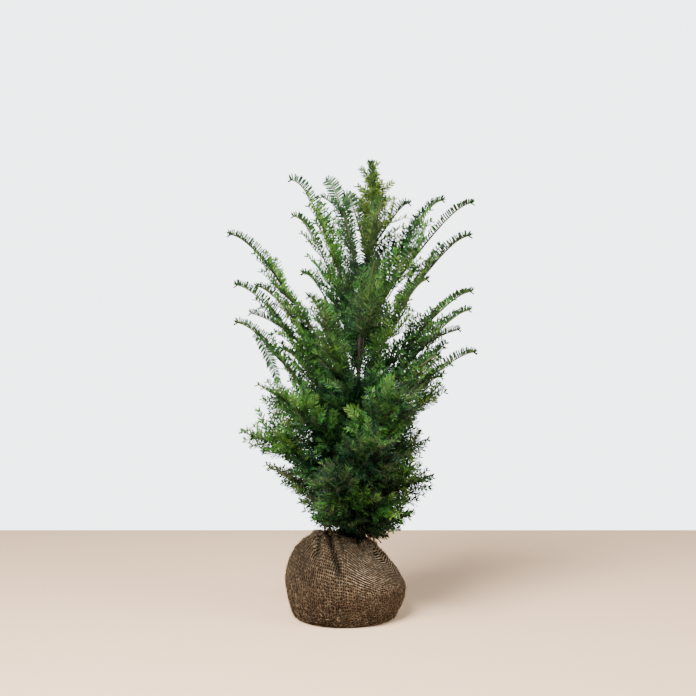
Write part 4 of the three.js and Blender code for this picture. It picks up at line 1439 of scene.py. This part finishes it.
stations = [shoot_stations(), tip_stations()]
for owner, limb in enumerate(limbs):
    stations += [stem_stations(owner, limb), stem_tip(owner, limb)]
columns = [np.concatenate(column) for column in zip(*stations)]
# a little out of step along the stem, and then one needle to either hand at every station
dice = np.random.default_rng(SEED)
foot, along, tooth = columns[0], columns[1], columns[-1]
columns[0] = foot + along * (dice.uniform(-0.25, 0.25, len(foot)) * (1 - 0.6 * tooth) * NEEDLE_PITCH)[:, None]
hand = np.repeat([1.0, -1.0], len(foot))
columns = [np.concatenate([column] * 2) for column in columns]
foot, along, above, owner, tone, rise, forward, size, tooth = columns
rise, forward = np.radians(rise), np.radians(forward)
total = len(foot)
above = unit(above - (above * along).sum(1, keepdims=True) * along)
across = np.cross(along, above)
rise = rise + np.radians(dice.normal(0, 10, total)) * (1 - 0.5 * tooth)
forward = forward + np.radians(dice.normal(0, 7, total)) * (1 - 0.45 * tooth)
size = size * dice.uniform(0.84, 1.1, total)
sideways = (hand * np.cos(rise))[:, None] * across + np.sin(rise)[:, None] * above
direction = np.cos(forward)[:, None] * along + np.sin(forward)[:, None] * sideways
face_up = np.cos(rise)[:, None] * above - (hand * np.sin(rise))[:, None] * across + along * 0.15
face_up = unit(face_up - (face_up * direction).sum(1, keepdims=True) * direction)
breadth = np.cross(direction, face_up)
length = (NEEDLE_LENGTH * size)[:, None]
width = (NEEDLE_WIDTH * (0.75 + 0.25 * size) * (1 + 0.40 * tooth))[:, None]
arch = length * dice.uniform(0.01, 0.07, total)[:, None]


def blade(share, across_share, up):
    """A corner of every needle at a share of its length, of its width and above its own chord."""
    return foot + direction * length * share + breadth * width * across_share + face_up * up


corners = np.stack(
    [
        foot,
        blade(0.12, 0.42, -width * 0.1),
        blade(0.78, 0.46, arch - width * 0.16),
        blade(1.0, 0.0, -arch * 0.5) + along * length * 0.05,
        blade(0.78, -0.46, arch - width * 0.16),
        blade(0.12, -0.42, -width * 0.1),
    ],
    axis=1,
)
needle_faces = np.array([(0, 2, 1), (0, 3, 2), (0, 4, 3), (0, 5, 4)])

# the crown's radius by height
CROWN_RADIUS = [(0.2, 0.1), (0.3, 0.2), (0.42, 0.24), (0.6, 0.26), (0.85, 0.24), (0.95, 0.15), (1.1, 0.05)]
outer = np.clip(np.hypot(foot[:, 0] - 0.045, foot[:, 1]) / along_table(foot[:, 2], CROWN_RADIUS), 0, 1.1)
# fresher outside and by the shoot's own tone, darker inside partly as painted shade; darker on the combs and
# at the very edge as painted shade
freshness_and_painted_shade = 0.34 * outer + 0.82 * tone**1.5 - 0.04 + 0.12 * dice.standard_normal(total)
freshness_and_painted_shade += 0.07 - 0.3 * np.clip(outer - 0.9, 0, 1) - 0.26 * tooth + 0.06 * (owner == leader_number)
# darker in the lower crown, partly its own darker needles and partly painted shade; a little fresher half-way
# up
freshness_and_painted_shade -= 0.26 * np.clip((0.60 - foot[:, 2]) / 0.20, 0, 1)
freshness_and_painted_shade += 0.05 * np.exp(-(((foot[:, 2] - 0.72) / 0.12) ** 2))
# patches where the needles are darker or lighter: x, height, radius, how much lighter
TONE_PATCHES = [
    (-0.098, 0.558, 0.035, -0.14),
    (-0.025, 0.349, 0.045, -0.16),
    (0.049, 0.475, 0.045, -0.17),
    (0.145, 0.558, 0.034, -0.19),
    (0.148, 0.460, 0.028, -0.14),
    (-0.052, 0.308, 0.030, -0.15),
    (-0.005, 0.932, 0.035, -0.12),
    (0.098, 0.853, 0.030, -0.14),
    (-0.005, 0.656, 0.035, 0.15),
    (0.123, 0.640, 0.045, 0.16),
    (-0.185, 0.415, 0.040, 0.24),
    (-0.146, 0.425, 0.034, 0.16),
    (-0.148, 0.755, 0.030, 0.13),
    (0.197, 0.706, 0.035, 0.13),
    (0.150, 0.385, 0.045, 0.24),
]
for x, z, radius, patch_lift in TONE_PATCHES:
    freshness_and_painted_shade += patch_lift * np.exp(-((np.hypot(foot[:, 0] - x, foot[:, 2] - z) / radius) ** 2))


def numbers_of(belongs):
    """The numbers of the limbs that belong together."""
    return [number for number, limb in enumerate(limbs) if belongs(limb)]


green = np.clip((freshness_and_painted_shade * 7).astype(int), 0, FIRST_OLIVE - 1)
# the olive greens are those of the leader and the limbs round it, and the combs have two of their own, dark
# as painted shade
olive_owners = numbers_of(lambda limb: limb["name"].startswith("leader"))
olive = np.clip(FIRST_OLIVE + ((freshness_and_painted_shade - 0.12) * 6).astype(int), FIRST_OLIVE, FIRST_COMB_GREEN - 1)
green = np.where(np.isin(owner, olive_owners), olive, green)
comb_green = FIRST_COMB_GREEN + ((tone + 0.2 * dice.standard_normal(total)) > 0.24)
green = np.where((tooth > 0.4) & (owner != leader_number), comb_green, green)

# the needles are joined by region; a limb of the close crown counts as left or right by where its tip is
close_left = numbers_of(lambda limb: limb["kind"] == "close" and limb["points"][3][0] < TRUNK_X - 0.001)
close_right = numbers_of(lambda limb: limb["kind"] == "close" and limb["points"][3][0] >= TRUNK_X - 0.001)
long_left = numbers_of(lambda limb: limb["kind"] == "long" and limb["name"].startswith("left"))
long_right = numbers_of(lambda limb: limb["kind"] == "long" and limb["name"].startswith("right"))
front = numbers_of(lambda limb: limb["kind"] != "long" and limb["name"].startswith(("front", "leader")))
regions = {
    "lower_left": close_left,
    "lower_right": close_right,
    "left_boughs": long_left,
    "right_boughs": long_right,
    "front_and_top": front,
}
placed = set(sum(regions.values(), []))
regions["inner_and_back"] = [number for number in range(len(limbs)) if number not in placed]
for region, owners in regions.items():
    chosen = np.isin(owner, owners)
    points = corners[chosen].reshape(-1, 3)
    first_corners = np.arange(0, len(points), corners.shape[1])
    faces = (needle_faces[None] + first_corners[:, None, None]).reshape(-1, 3)
    kinds = np.repeat(green[chosen], len(needle_faces))
    needles = joined_mesh("needles_" + region, points, faces, kinds, needle_finishes)
    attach(needles, "root")
    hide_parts(*["foliage_" + limbs[number]["name"] for number in owners])


# Floor, light and camera: a plain pale floor under soft light from all round, with a large soft lamp above
# and in front on the left.
FLOOR_WIDTH = 2.5
ROOM_LIGHT = 0.36
WALL_BRIGHTNESS = 4.6
LAMP_TARGET = Vector((0.02, 0, 0.55))
CAMERA_X = 0.0074
# degrees that the camera looks down
CAMERA_TILT = 0.74
clear_selection()
bpy.ops.mesh.primitive_plane_add(size=FLOOR_WIDTH, location=(0, 0, 0))
floor = rename(bpy.context.active_object, "floor")
floor.data.materials.append(plain_finish("pale_floor", (1.0, 0.69, 0.44), 0.8, 0.1))

world = bpy.data.worlds.new("soft_room")
bpy.context.scene.world = world
world.use_nodes = True
nodes, links = world.node_tree.nodes, world.node_tree.links
nodes["Background"].inputs["Color"].default_value = (0.9, 0.94, 1, 1)
nodes["Background"].inputs["Strength"].default_value = ROOM_LIGHT
wall = nodes.new("ShaderNodeBackground")
wall.inputs["Color"].default_value = (0.93, 0.96, 1, 1)
wall.inputs["Strength"].default_value = WALL_BRIGHTNESS
seen_or_lit = nodes.new("ShaderNodeMixShader")
links.new(nodes.new("ShaderNodeLightPath").outputs["Is Camera Ray"], seen_or_lit.inputs["Fac"])
links.new(nodes["Background"].outputs["Background"], seen_or_lit.inputs[1])
links.new(wall.outputs["Background"], seen_or_lit.inputs[2])
links.new(seen_or_lit.outputs["Shader"], nodes["World Output"].inputs["Surface"])


def soft_lamp(name, spot, size, power):
    lamp = bpy.data.lights.new(name, "AREA")
    lamp.size = size
    lamp.energy = power
    holder = bpy.data.objects.new(name, lamp)
    bpy.context.collection.objects.link(holder)
    holder.location = spot
    holder.rotation_euler = (LAMP_TARGET - Vector(spot)).to_track_quat("-Z", "Y").to_euler()


soft_lamp("main_softbox", spot=(-0.9, -1.7, 2.6), size=1.4, power=275)
soft_lamp("fill_softbox", spot=(1.9, -1.2, 1.6), size=1.6, power=48)

camera_data = bpy.data.cameras.new("camera")
camera_data.sensor_width = 36
camera_data.lens = 60
camera = bpy.data.objects.new("camera", camera_data)
bpy.context.collection.objects.link(camera)
camera.location = (CAMERA_X, -VIEW_DISTANCE, EYE_HEIGHT)
camera.rotation_euler = (math.radians(90 - CAMERA_TILT), 0, 0)
bpy.context.scene.camera = camera
